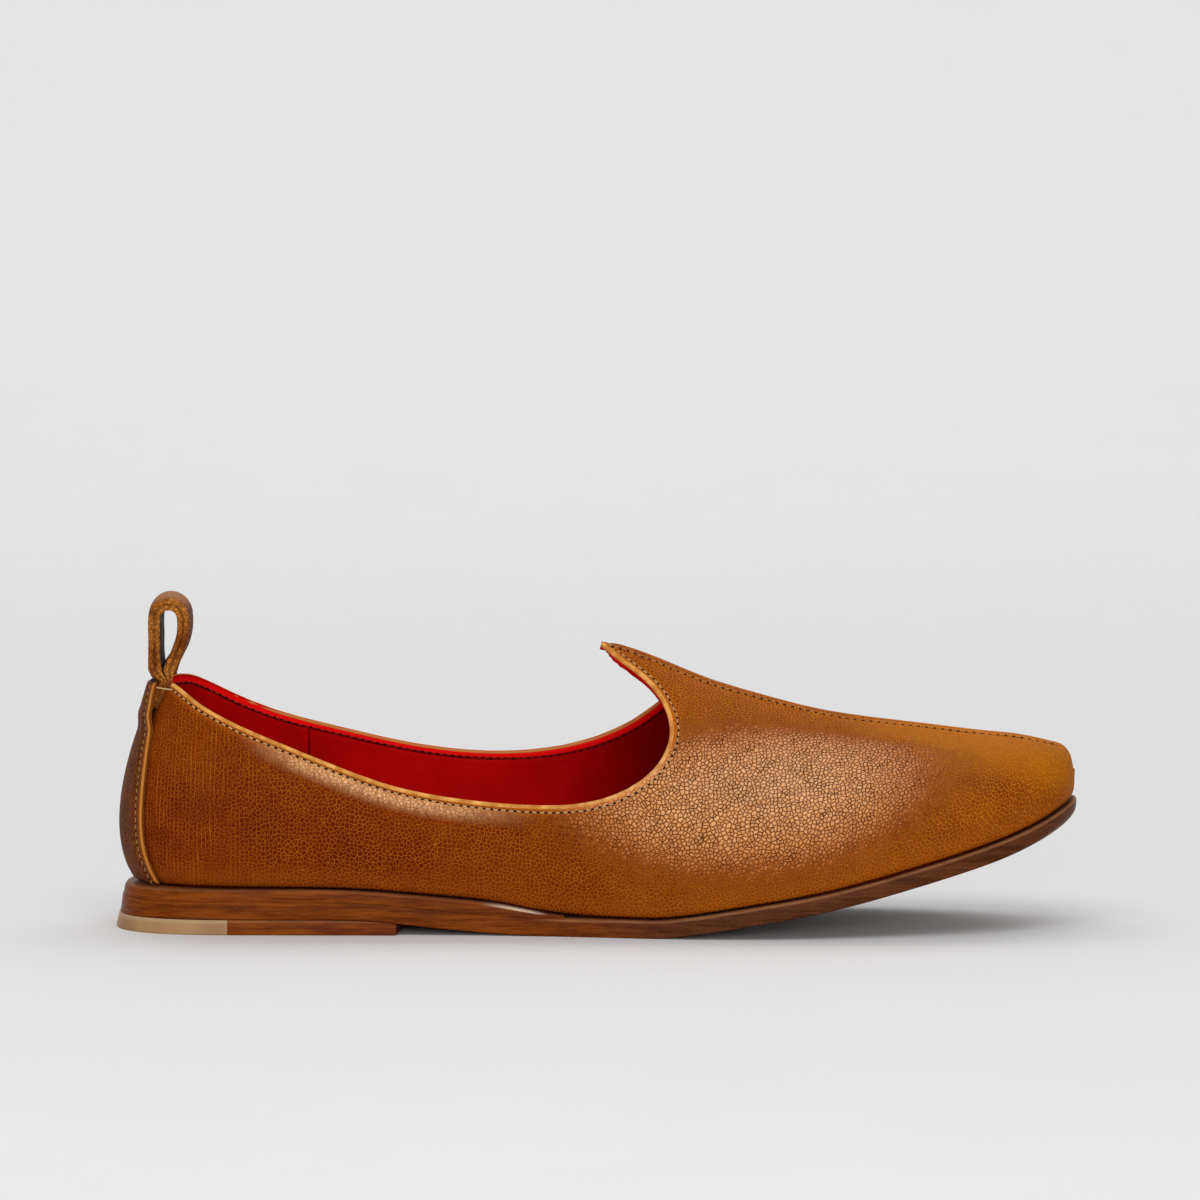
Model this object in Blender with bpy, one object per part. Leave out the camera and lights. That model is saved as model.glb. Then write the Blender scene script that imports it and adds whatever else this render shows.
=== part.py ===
"""A right khussa: a slip-on leather shoe with a peaked throat and a heel pull loop.

Run with:  blender --background --python part.py

The shoe is worked out in millimetres in its own frame: x runs from the back of the heel
(0) to the toe (300), y is negative on the outer (lateral) side of a right foot and
positive on the inner (medial) side, and z is up from the floor.  At the end every piece
is moved so that the whole shoe's box is centred over the origin, and written in metres.
"""
import functools
import math

import bmesh
import bpy
import numpy as np

MM = 0.001
LATERAL = -1
MEDIAL = 1

# ---- driving dimensions, mm ---------------------------------------------------------
GAP = 0.3                  # clearance between pieces that touch
WALL = 2.4                 # upper: outer leather and lining together
SOLE_LENGTH = 300.0
HEEL_ROUND = 40.0          # length of the rounded heel end of every outline
HEEL_POWER = 2.6           # superellipse power of that end: blunter than a circle
TOE_ROUND = 50.0
TOE_POWER = 2.25
UPPER_HEEL_X = 8.1         # where the upper meets the sole, at the back and at the toe
UPPER_TOE_X = 298.8
OUTSOLE = 5.4              # outsole thickness
EDGE_BREAK = 0.5           # chamfer along its two edges
OUTSOLE_HEEL_BOTTOM = 1.3  # its heel end slopes forward, towards the seat
OUTSOLE_HEEL_TOP = 2.0
OUTSOLE_TOE_BOTTOM = 299.8
LIFT = 4.4                 # heel lift thickness
LIFT_FLARE = 1.0           # how far it spreads towards the floor, at the back
LIFT_BREAST_LATERAL = 88.0
LIFT_BREAST_MEDIAL = 93.0
RUBBER_FRONT = 36.0        # front of the rubber quarter of the heel lift
SEAT_HEEL_BOTTOM = 2.2     # heel seat layer: its heel end, below and at its rim
SEAT_HEEL_RIM = 2.8
SEAT_INSET = 0.1
SEAT_BEVEL = 0.9           # height and width of the rim's bevel
SEAT_FRONT = 140.0         # where the skived heel seat layer runs out
INSOLE = 2.2
STRIP = 1.4                # back strip leather

# ---- section tables -----------------------------------------------------------------
# Sole outline: half widths either side of the sole's centre line, before the ends are
# rounded, and how far that line swings towards the inner side.
SOLE_OUTLINE = ("x", "lateral", "medial", "swing")
SOLE_OUTLINE_ROWS = (
    (0.0, 30.6, 30.6, 0.0),
    (40.0, 31.2, 31.0, 0.0),
    (75.0, 31.6, 30.2, 0.0),
    (105.0, 32.0, 28.8, -0.3),
    (130.0, 33.4, 29.4, -0.5),
    (155.0, 38.2, 34.2, -0.2),
    (180.0, 43.6, 42.0, 0.4),
    (205.0, 46.8, 46.6, 1.0),
    (228.0, 46.0, 46.0, 1.8),
    (255.0, 42.0, 42.4, 2.8),
    (280.0, 38.0, 38.4, 3.6),
    (300.0, 35.5, 36.0, 4.0),
)

# Underside of the outsole; and the bed, the surface that the upper stands on, which is
# the top of the heel seat layer at the back and meets the outsole ahead of it.
SOLE_PROFILE = ("x", "underside")
SOLE_PROFILE_ROWS = (
    (0.0, 4.7),
    (35.0, 4.7),
    (62.0, 4.65),
    (84.0, 4.0),
    (97.0, 2.6),
    (110.0, 1.4),
    (124.0, 0.4),
    (136.0, 0.0),
    (150.0, 0.0),
    (168.0, 0.0),
    (184.0, 2.0),
    (200.0, 4.8),
    (220.0, 8.5),
    (245.0, 14.8),
    (262.0, 19.6),
    (277.0, 24.2),
    (289.0, 28.9),
    (300.0, 34.6),
)
FLAT_START = 136.0         # the stretch that rests on the floor
FLAT_END = 168.0
BED = ("x", "z")
BED_ROWS = (
    (0.0, 13.8),
    (35.0, 13.8),
    (60.0, 13.7),
    (76.0, 13.3),
    (88.0, 12.5),
    (101.0, 11.4),
    (112.0, 10.4),
    (122.0, 9.0),
    (131.0, 7.3),
    (140.0, 6.2),
    (150.0, 5.6),
    (160.0, 5.4),
)
BED_END = 160.0            # from here on the upper stands on the outsole itself

# Crest of the last: over the ankle it is only a guide, from the tongue on it is the
# centre seam of the vamp.
CREST = ("x", "z")
CREST_ROWS = (
    (36.0, 104.0),
    (70.0, 105.0),
    (105.0, 102.0),
    (130.0, 94.6),
    (151.5, 88.4),
    (165.0, 84.9),
    (182.0, 78.0),
    (200.0, 72.3),
    (220.0, 67.0),
    (245.0, 63.3),
    (270.0, 60.2),
    (282.0, 58.9),
    (292.8, 56.4),
)

# The last's columns.  Each rises from the feather edge at x to the crest at crest_x.
# inset: feather edge in from the sole's edge; lean: outward slope at the feather edge;
# rise and shoulder: how long it keeps that slope, and the crest's, as fractions of the
# column's height and reach; ridge: fall of the surface away from the crest.
LAST_COLUMNS = ("x", "crest_x", "inset", "lean", "rise", "shoulder", "ridge")
LAST_COLUMN_ROWS = (
    (8.1, 36.0, 3.2, 0.78, 0.27, 0.37, 0.00),
    (35.0, 50.0, 3.0, 0.48, 0.33, 0.60, 0.00),
    (65.0, 69.0, 2.8, 0.30, 0.37, 0.76, 0.00),
    (100.0, 100.0, 2.6, 0.30, 0.38, 0.75, 0.00),
    (135.0, 135.0, 2.2, 0.36, 0.38, 0.70, 0.03),
    (160.0, 160.0, 1.8, 0.36, 0.38, 0.64, 0.11),
    (185.0, 185.0, 1.4, 0.34, 0.38, 0.61, 0.15),
    (212.0, 210.0, 1.3, 0.40, 0.36, 0.60, 0.14),
    (245.0, 239.0, 1.3, 0.44, 0.38, 0.60, 0.12),
    (272.0, 264.0, 1.4, 0.42, 0.40, 0.66, 0.06),
    (288.0, 281.0, 1.5, 0.32, 0.40, 0.84, 0.03),
    (298.8, 292.8, 1.6, 0.20, 0.38, 1.16, 0.00),
)

# Top line, from the back of the heel to the tongue's point: the column that it crosses
# and its height there.  It turns back on itself round the throat.
TOPLINE = ("column", "z")
LATERAL_TOPLINE_ROWS = (
    (8.1, 77.4),
    (13.0, 76.2),
    (22.0, 72.2),
    (36.0, 66.0),
    (50.0, 60.4),
    (68.0, 53.2),
    (87.0, 46.4),
    (108.0, 42.4),
    (130.0, 40.7),
    (148.0, 42.0),
    (161.0, 47.0),
    (169.5, 54.5),
    (172.6, 63.0),
    (170.8, 70.6),
    (165.0, 78.0),
    (158.0, 83.2),
    (151.5, 88.1),
)
MEDIAL_TOPLINE_ROWS = (
    (8.1, 77.4),
    (13.0, 77.6),
    (22.0, 75.4),
    (36.0, 69.6),
    (50.0, 64.4),
    (68.0, 59.6),
    (87.0, 55.2),
    (108.0, 52.2),
    (130.0, 52.3),
    (147.0, 55.6),
    (160.0, 61.2),
    (169.0, 67.8),
    (172.2, 72.4),
    (170.6, 76.2),
    (165.6, 79.6),
    (158.4, 83.8),
    (151.5, 88.1),
)

# Back strip over the heel: height, and the column of the last that its edge lies on.
BACK_STRIP = ("z", "edge_column")
BACK_STRIP_ROWS = (
    (14.7, 15.8),
    (24.0, 14.8),
    (37.0, 14.2),
    (50.0, 13.5),
    (60.0, 12.3),
    (68.0, 11.1),
    (76.6, 10.3),
)
STRIP_GAP = 0.4            # level clearance from the upper
STRIP_LIFT_START = 61.0    # height at which it begins to rise over the loop's tail
STRIP_LIFT_END = 67.8

# Pull loop: a strap folded in two.  Its two ends make a thin tail between the upper and
# the back strip, and its middle stands above the collar as a loop.
STRAP = ("x", "z", "thickness")
STRAP_BACK_RISE_ROWS = (
    (12.2, 78.3, 2.2),
    (12.2, 79.6, 2.8),
    (12.35, 82.0, 3.15),
    (12.6, 85.5, 3.55),
    (12.75, 90.0, 3.7),
)
STRAP_FRONT_FALL_ROWS = (
    (21.5, 92.2, 3.7),
    (20.6, 88.5, 3.65),
    (18.8, 85.0, 3.4),
    (16.5, 82.0, 2.7),
    (14.9, 79.6, 2.1),
    (14.35, 78.2, 1.5),
)
STRAP_HALF_WIDTH = 12.0
STRAP_EDGE_BREAK = 0.7
STRAP_TAIL_BOTTOM = 68.5
STRAP_TAIL_TOP = 77.0
STRAP_END_THICKNESS = 0.6  # the two ends are skived thin
STRAP_COLLAR_THICKNESS = 1.25
STRAP_FULL = 3.7
STRAP_SLIT = 0.3           # between the two strands of the tail
STRAP_GAP = 0.37           # between the tail and the leather on either side of it
STRAP_CROWN = 0.5          # how far the loop's middle stands out from its edges
STRAP_TOP_CROWN = 1.0      # and how much further at the loop's top
STRAP_BOW = 0.4            # share of the crown that its inner face follows
LOOP_ARC_X = 17.15
LOOP_ARC_Z = 96.4
LOOP_ARC_RADIUS = 4.4
BACK_STRAIGHT_FROM = 80.5  # above these heights the two strands no longer bend round
FRONT_STRAIGHT_FROM = 88.0  # the heel

# ---- mesh fineness ------------------------------------------------------------------
HEEL_COLUMNS = 9           # round the heel
QUARTER_COLUMNS = 19       # from there to the front of the throat
TONGUE_COLUMNS = 9         # front of the throat back to the tongue's point
VAMP_COLUMNS = 18          # front of the throat to where the toe begins to round
TOE_COLUMNS = 9            # round the toe
LOW_ROWS = 9               # feather edge up to the level of the throat's front
HIGH_ROWS = 5              # from there to the crest
SOLE_STATIONS = 46
SEAT_STATIONS = 26
INSOLE_STATIONS = 34
LIFT_STATIONS = 16
STRIP_COLUMNS = 14
STRIP_ROWS = (7, 3, 4)     # below its ramp, on the ramp, and over the loop's tail
STRAP_STEPS = 64
STRAP_FACETS = 6           # across the strap
ARC_TURNS = 8


class Table:
    """Natural cubic splines through the rows of a table, one for each named column."""

    def __init__(self, names, rows):
        data = np.array(rows, dtype=float)
        self.key = data[:, 0]
        self.values = {name: data[:, i] for i, name in enumerate(names)}
        self.bends = {name: self.solve_bends(data[:, i]) for i, name in enumerate(names)}

    def solve_bends(self, values):
        count = len(self.key)
        step = np.diff(self.key)
        matrix = np.eye(count)
        right = np.zeros(count)
        for i in range(1, count - 1):
            matrix[i, i - 1] = step[i - 1]
            matrix[i, i] = 2 * (step[i - 1] + step[i])
            matrix[i, i + 1] = step[i]
            rise = (values[i + 1] - values[i]) / step[i]
            right[i] = 6 * (rise - (values[i] - values[i - 1]) / step[i - 1])
        return np.linalg.solve(matrix, right)

    def at(self, name, key):
        key = min(max(key, self.key[0]), self.key[-1])
        i = min(int(np.searchsorted(self.key, key, side="right")) - 1, len(self.key) - 2)
        step = self.key[i + 1] - self.key[i]
        a = (self.key[i + 1] - key) / step
        b = 1 - a
        values = self.values[name]
        bends = self.bends[name]
        bend = ((a ** 3 - a) * bends[i] + (b ** 3 - b) * bends[i + 1]) * step * step / 6
        return a * values[i] + b * values[i + 1] + bend


class Path:
    """A smooth curve through rows of points, read by the fraction of its length."""

    def __init__(self, names, rows):
        points = np.array(rows, dtype=float)
        steps = np.linalg.norm(np.diff(points, axis=0), axis=1)
        along = np.concatenate([[0.0], np.cumsum(steps)])
        self.table = Table(("along",) + names, np.column_stack([along / along[-1], points]))
        self.names = names

    def at(self, fraction):
        return [self.table.at(name, fraction) for name in self.names]


sole_outline = Table(SOLE_OUTLINE, SOLE_OUTLINE_ROWS)
sole_profile = Table(SOLE_PROFILE, SOLE_PROFILE_ROWS)
bed = Table(BED, BED_ROWS)
crest = Table(CREST, CREST_ROWS)
last_columns = Table(LAST_COLUMNS, LAST_COLUMN_ROWS)
back_strip = Table(BACK_STRIP, BACK_STRIP_ROWS)
toplines = {
    LATERAL: Path(TOPLINE, LATERAL_TOPLINE_ROWS),
    MEDIAL: Path(TOPLINE, MEDIAL_TOPLINE_ROWS),
}


# ---- the sole's and the last's own functions ----------------------------------------
def end_rounding(x, heel_x, toe_x):
    """Fraction of the full half width that is left near the rounded heel and toe."""
    into_heel = min(max((heel_x + HEEL_ROUND - x) / HEEL_ROUND, 0.0), 1.0)
    into_toe = min(max((x - toe_x + TOE_ROUND) / TOE_ROUND, 0.0), 1.0)
    heel = (1 - into_heel ** HEEL_POWER) ** (1 / HEEL_POWER)
    toe = (1 - into_toe ** TOE_POWER) ** (1 / TOE_POWER)
    return heel * toe


def outline_y(x, side, heel_x, toe_x, inset):
    """y of an outline parallel to the sole's edge, with its own heel and toe ends."""
    name = "lateral" if side == LATERAL else "medial"
    half = (sole_outline.at(name, x) - inset) * end_rounding(x, heel_x, toe_x)
    return sole_outline.at("swing", x) + side * half


def underside_z(x):
    """Underside of the outsole: flat under the ball, rising to the toe."""
    if FLAT_START <= x <= FLAT_END:
        return 0.0
    return max(sole_profile.at("underside", x), 0.0)


def outsole_top_z(x):
    return underside_z(x) + OUTSOLE


def bed_z(x):
    """The surface under the upper: heel seat layer at the back, outsole ahead of it."""
    return outsole_top_z(x) if x >= BED_END else bed.at("z", x)


def last_point(column, height, side):
    """Point of the last's outer surface: column at the feather edge, height 0 to 1."""
    inset = last_columns.at("inset", column)
    foot = np.array([
        column,
        outline_y(column, side, UPPER_HEEL_X, UPPER_TOE_X, inset),
        bed_z(column) + GAP,
    ])
    crest_x = last_columns.at("crest_x", column)
    top = np.array([crest_x, sole_outline.at("swing", crest_x), crest.at("z", crest_x)])
    reach_vector = foot[:2] - top[:2]
    reach = math.hypot(*reach_vector)
    outward = reach_vector / reach
    tall = top[2] - foot[2]
    rise = last_columns.at("rise", column) * tall
    shoulder = last_columns.at("shoulder", column) * reach
    lean = last_columns.at("lean", column)
    crest_slope = (crest.at("z", crest_x + 1) - crest.at("z", crest_x - 1)) / 2
    fall = crest_slope * outward[0] - last_columns.at("ridge", column) * abs(outward[1])
    near_foot = foot + rise * np.array([lean * outward[0], lean * outward[1], 1.0])
    near_top = top + shoulder * np.array([outward[0], outward[1], fall])
    rest = 1 - height
    return (rest ** 3 * foot + 3 * rest ** 2 * height * near_foot
            + 3 * rest * height ** 2 * near_top + height ** 3 * top)


def height_at_z(column, z, side):
    """Height fraction at which a column of the last reaches z."""
    low = 0.0
    high = 1.0
    for _ in range(26):
        middle = (low + high) / 2
        if last_point(column, middle, side)[2] < z:
            low = middle
        else:
            high = middle
    return (low + high) / 2


def last_normal(column, height, side):
    """Outward normal of the last's surface."""
    small = 0.02
    low_column = max(column - 10 * small, UPPER_HEEL_X + small)
    along = last_point(low_column + 20 * small, height, side)
    along -= last_point(low_column, height, side)
    up = last_point(column, min(height + small, 1.0), side)
    up -= last_point(column, max(height - small, 0.0), side)
    normal = np.cross(along, up) * -side
    return normal / np.linalg.norm(normal)


# ---- the upper's grid ---------------------------------------------------------------
def throat_front(side):
    """Fraction of the top line at which it reaches furthest forward."""
    steps = 2000
    return max((i / steps for i in range(steps)), key=lambda f: toplines[side].at(f)[0])


def round_end(steps, power):
    """Ways from a rounded end's tip (0) to where it has reached full width (1).

    The outline's points at these stations lie about evenly round the end.
    """
    angles = [math.pi / 2 * i / steps for i in range(steps + 1)]
    return [1 - max(math.cos(angle), 0.0) ** (2 / power) for angle in angles]


def fraction_at_column(side, column, front):
    """Fraction of the top line at which it crosses a column of the quarter."""
    low = 0.0
    high = front
    for _ in range(30):
        middle = (low + high) / 2
        if toplines[side].at(middle)[0] < column:
            low = middle
        else:
            high = middle
    return (low + high) / 2


def topline_points(side):
    """(column, height) pairs on the top line: along the quarter, then round the tongue."""
    front = throat_front(side)
    fractions = [fraction_at_column(side, UPPER_HEEL_X + HEEL_ROUND * way, front)
                 for way in round_end(HEEL_COLUMNS, HEEL_POWER)]
    fractions[0] = 0.0
    rounded = fractions[-1]
    fractions += [rounded + (front - rounded) * i / QUARTER_COLUMNS
                  for i in range(1, QUARTER_COLUMNS + 1)]
    fractions += [front + (1 - front) * eased(i / TONGUE_COLUMNS, 1.0, 0.5)
                  for i in range(1, TONGUE_COLUMNS + 1)]
    pairs = []
    for fraction in fractions:
        column, z = toplines[side].at(fraction)
        pairs.append((column, height_at_z(column, z, side)))
    last_quarter = HEEL_COLUMNS + QUARTER_COLUMNS
    return pairs[:last_quarter + 1], pairs[last_quarter:]


def vamp_shares(front_column):
    """Shares of the way from the throat's front to the toe, closer round the toe."""
    reach = UPPER_TOE_X - front_column
    rounded = 1 - TOE_ROUND / reach
    shares = [rounded * i / VAMP_COLUMNS for i in range(VAMP_COLUMNS)]
    shares += [1 - (1 - rounded) * way
               for way in reversed(round_end(TOE_COLUMNS, TOE_POWER))]
    return shares


def upper_patches(side):
    """Grids of outer points, [column][row], that meet along shared edges.

    The quarter runs under the top line from the heel to the front of the throat.  The
    vamp runs from there to the toe, and the tongue from there back to its point.  Both
    sides share the points along the crest, midway between their own columns.
    """
    edges = {each: topline_points(each) for each in (LATERAL, MEDIAL)}
    quarter_edge, tongue_edge = edges[side]
    crest_columns = [(a[0] + b[0]) / 2 for a, b in zip(edges[LATERAL][1], edges[MEDIAL][1])]
    quarter = [[last_point(column, height * j / LOW_ROWS, side)
                for j in range(LOW_ROWS + 1)] for column, height in quarter_edge]
    tongue = []
    for (column, height), crest_column in zip(tongue_edge, crest_columns):
        points = []
        for j in range(HIGH_ROWS + 1):
            up = j / HIGH_ROWS
            points.append(last_point(column + (crest_column - column) * up,
                                     height + (1 - height) * up, side))
        tongue.append(points)
    front_column, front_height = tongue_edge[0]
    even_height = LOW_ROWS / (LOW_ROWS + HIGH_ROWS)
    vamp = []
    for share in vamp_shares(front_column):
        foot_column = front_column + (UPPER_TOE_X - front_column) * share
        crest_column = crest_columns[0] + (UPPER_TOE_X - crest_columns[0]) * share
        split = front_height + (even_height - front_height) * share
        points = [last_point(foot_column, split * j / LOW_ROWS, side)
                  for j in range(LOW_ROWS)]
        for j in range(HIGH_ROWS + 1):
            up = j / HIGH_ROWS
            points.append(last_point(foot_column + (crest_column - foot_column) * up,
                                     split + (1 - split) * up, side))
        vamp.append(points)
    return quarter, tongue[::-1], vamp


def eased(fraction, start_speed, end_speed):
    """Steps from 0 to 1 whose size changes smoothly from one end to the other."""
    cubic = start_speed + end_speed - 2
    square = 3 - 2 * start_speed - end_speed
    return fraction * (start_speed + fraction * (square + fraction * cubic))


# ---- mesh helpers -------------------------------------------------------------------
def material(name, colour, roughness):
    made = bpy.data.materials.new(name)
    made.use_nodes = True
    shader = made.node_tree.nodes["Principled BSDF"]
    shader.inputs["Base Color"].default_value = (*colour, 1.0)
    shader.inputs["Roughness"].default_value = roughness
    return made


def add_object(name, points, faces, surface, sharp_degrees=40.0):
    """Make one closed mesh object from points in mm and faces of point numbers."""
    mesh = bpy.data.meshes.new(name)
    mesh.from_pydata([tuple(point) for point in points], [], faces)
    shape = bmesh.new()
    shape.from_mesh(mesh)
    bmesh.ops.remove_doubles(shape, verts=shape.verts, dist=0.002)
    bmesh.ops.dissolve_degenerate(shape, edges=shape.edges, dist=0.001)
    bmesh.ops.recalc_face_normals(shape, faces=shape.faces)
    shape.to_mesh(mesh)
    shape.free()
    mesh.shade_smooth()
    mesh.set_sharp_from_angle(angle=math.radians(sharp_degrees))
    mesh.materials.append(surface)
    made = bpy.data.objects.new(name, mesh)
    bpy.context.scene.collection.objects.link(made)
    return made


def slab(levels, stations, heel_closed, toe_closed):
    """Points and faces of a layer that follows the sole's outline.

    levels: functions (station, side) -> point, from the underside's inner ring up to the
    top side's inner ring.  A closed end has its two sides meet on the centre line.
    """
    count = len(stations)
    points = []
    rings = []
    for level in levels:
        lateral = []
        medial = []
        for i, station in enumerate(stations):
            lateral.append(len(points))
            points.append(level(station, LATERAL))
            shared = (i == 0 and heel_closed) or (i == count - 1 and toe_closed)
            if shared:
                medial.append(lateral[-1])
            else:
                medial.append(len(points))
                points.append(level(station, MEDIAL))
        loop = lateral + [n for n in reversed(medial) if n not in (lateral[0], lateral[-1])]
        rings.append((lateral, medial, loop))
    faces = []
    for (_, _, low), (_, _, high) in zip(rings, rings[1:]):
        for i in range(len(low)):
            following = (i + 1) % len(low)
            faces.append((low[i], low[following], high[following], high[i]))
    for lateral, medial, _ in (rings[0], rings[-1]):
        for i in range(count - 1):
            corners = [lateral[i], lateral[i + 1], medial[i + 1], medial[i]]
            faces.append(tuple(dict.fromkeys(corners)))
    return points, faces


def spaced(count, ease_end=True):
    """Stations from 0 to 1, closer together at the start, and at the end where asked."""
    stations = []
    for i in range(count + 1):
        turn = math.pi * i / count
        if ease_end:
            stations.append((1 - math.cos(turn)) / 2)
        else:
            stations.append(1 - math.cos(turn / 2))
    return stations


def sole_level(z_at, heel_x, toe_x, inset):
    """Level of a slab: its height z_at(x), its ends, and how far it is set in all round."""
    start = heel_x + inset
    end = toe_x - inset

    def level(station, side):
        x = start + (end - start) * station
        return (x, outline_y(x, side, start, end, inset), z_at(x))
    return level


# ---- the pieces ---------------------------------------------------------------------
def make_outsole(surface):
    """One leather sole from the heel to the toe, its edges just broken."""
    levels = [
        sole_level(underside_z, OUTSOLE_HEEL_BOTTOM, OUTSOLE_TOE_BOTTOM, EDGE_BREAK),
        sole_level(lambda x: underside_z(x) + EDGE_BREAK,
                   OUTSOLE_HEEL_BOTTOM, OUTSOLE_TOE_BOTTOM, 0.0),
        sole_level(lambda x: outsole_top_z(x) - EDGE_BREAK,
                   OUTSOLE_HEEL_TOP, SOLE_LENGTH, 0.0),
        sole_level(outsole_top_z, OUTSOLE_HEEL_TOP, SOLE_LENGTH, EDGE_BREAK),
    ]
    stations = spaced(SOLE_STATIONS)
    points, faces = slab(levels, stations, True, True)
    return add_object("outsole", points, faces, surface)


def make_heel_seat(surface):
    """Layer under the heel and waist, skived to nothing ahead of the waist."""
    def layer_level(z_at, heel_x, inset):
        def level(station, side):
            x = heel_x + (SEAT_FRONT - heel_x) * station
            return (x, outline_y(x, side, heel_x, SOLE_LENGTH, inset), z_at(x))
        return level

    def bottom(x):
        return outsole_top_z(x) + GAP

    def rim_z(x):
        thick = bed_z(x) - bottom(x)
        return bed_z(x) - min(SEAT_BEVEL, thick / 2)

    levels = [
        layer_level(bottom, SEAT_HEEL_BOTTOM, SEAT_INSET),
        layer_level(rim_z, SEAT_HEEL_RIM, SEAT_INSET),
        layer_level(bed_z, SEAT_HEEL_RIM + SEAT_BEVEL, SEAT_INSET + SEAT_BEVEL),
    ]
    stations = spaced(SEAT_STATIONS, ease_end=False)
    points, faces = slab(levels, stations, True, False)
    return add_object("heel_seat", points, faces, surface)


def lift_level(z_at, flare, start, fronts):
    """Level of the heel lift.  Each side has its own front; flare spreads the outline."""
    heel_x = LIFT_FLARE - flare

    def level(station, side):
        back = heel_x if start is None else start
        x = back + (fronts[side] - back) * station
        return (x, outline_y(x, side, heel_x, SOLE_LENGTH, -flare / 2), z_at(x))
    return level


def floor_z(_):
    return 0.0


def lift_top_z(x):
    """Top of the heel lift, just under the outsole."""
    return min(LIFT, underside_z(x) - GAP)


def make_heel_lift(rubber_surface, leather_surface):
    """Heel lift in two pieces: a rubber quarter at the back and leather ahead of it."""
    fronts = {LATERAL: RUBBER_FRONT, MEDIAL: RUBBER_FRONT}
    rubber = [
        lift_level(floor_z, LIFT_FLARE, None, fronts),
        lift_level(lift_top_z, 0.0, None, fronts),
    ]
    stations = spaced(LIFT_STATIONS, ease_end=False)
    add_object("heel_lift_rubber", *slab(rubber, stations, True, False), rubber_surface)
    fronts = {LATERAL: LIFT_BREAST_LATERAL, MEDIAL: LIFT_BREAST_MEDIAL}
    leather = [
        lift_level(floor_z, LIFT_FLARE, RUBBER_FRONT + GAP, fronts),
        lift_level(lift_top_z, 0.0, RUBBER_FRONT + GAP, fronts),
    ]
    stations = [i / LIFT_STATIONS for i in range(LIFT_STATIONS + 1)]
    add_object("heel_lift_leather", *slab(leather, stations, False, False), leather_surface)


def upper_skin():
    """Points and faces of the upper's outer skin, and the points of its feather edge."""
    points = []
    numbers = {}
    faces = []
    feet = set()

    def number_of(point):
        key = tuple(round(float(value), 3) + 0.0 for value in point)
        if key not in numbers:
            numbers[key] = len(points)
            points.append(point)
        return numbers[key]

    for side in (LATERAL, MEDIAL):
        quarter, tongue, vamp = upper_patches(side)
        for patch in (quarter, tongue, vamp):
            numbered = [[number_of(point) for point in column] for column in patch]
            if patch is not tongue:
                feet.update(column[0] for column in numbered)
            for near, far in zip(numbered, numbered[1:]):
                for j in range(len(near) - 1):
                    face = [near[j], far[j], far[j + 1], near[j + 1]]
                    face = list(dict.fromkeys(face))
                    faces.append(tuple(face if side == LATERAL else face[::-1]))
    return np.array(points), faces, sorted(feet)


def make_upper(surface):
    """The hollow upper: outer and inner skins joined at the feather and top edges."""
    points, outer_faces, feet = upper_skin()
    normals = point_normals(points, outer_faces)
    inner = points - WALL * normals
    for n in feet:
        level = normals[n] * (1.0, 1.0, 0.0)
        inner[n] = points[n] - WALL * level / np.linalg.norm(level)
    shift = len(points)
    faces = list(outer_faces)
    faces += [tuple(n + shift for n in reversed(face)) for face in outer_faces]
    directed = {(a, b) for face in outer_faces for a, b in zip(face, face[1:] + face[:1])}
    for a, b in sorted(directed):
        if (b, a) not in directed:
            faces.append((b, a, a + shift, b + shift))
    return add_object("upper", np.vstack([points, inner]), faces, surface)


def point_normals(points, faces):
    """Area-weighted normals of the points of a mesh."""
    normals = np.zeros_like(points)
    for face in faces:
        corners = points[list(face)]
        middle = corners.mean(axis=0)
        area = sum(np.cross(a - middle, b - middle)
                   for a, b in zip(corners, np.roll(corners, -1, axis=0)))
        for n in face:
            normals[n] += area
    return normals / np.linalg.norm(normals, axis=1)[:, None]


def make_insole(surface):
    """Sock lining board on the bed, inside the upper's walls."""
    clearance = WALL + 2 * GAP
    heel_x = UPPER_HEEL_X + clearance
    toe_x = UPPER_TOE_X - clearance

    def insole_level(up):
        def level(station, side):
            x = heel_x + (toe_x - heel_x) * station
            inset = last_columns.at("inset", x) + clearance
            return (x, outline_y(x, side, heel_x, toe_x, inset), bed_z(x) + GAP + up)
        return level

    levels = [insole_level(0.0), insole_level(INSOLE)]
    stations = spaced(INSOLE_STATIONS)
    points, faces = slab(levels, stations, True, True)
    return add_object("insole", points, faces, surface)


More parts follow.
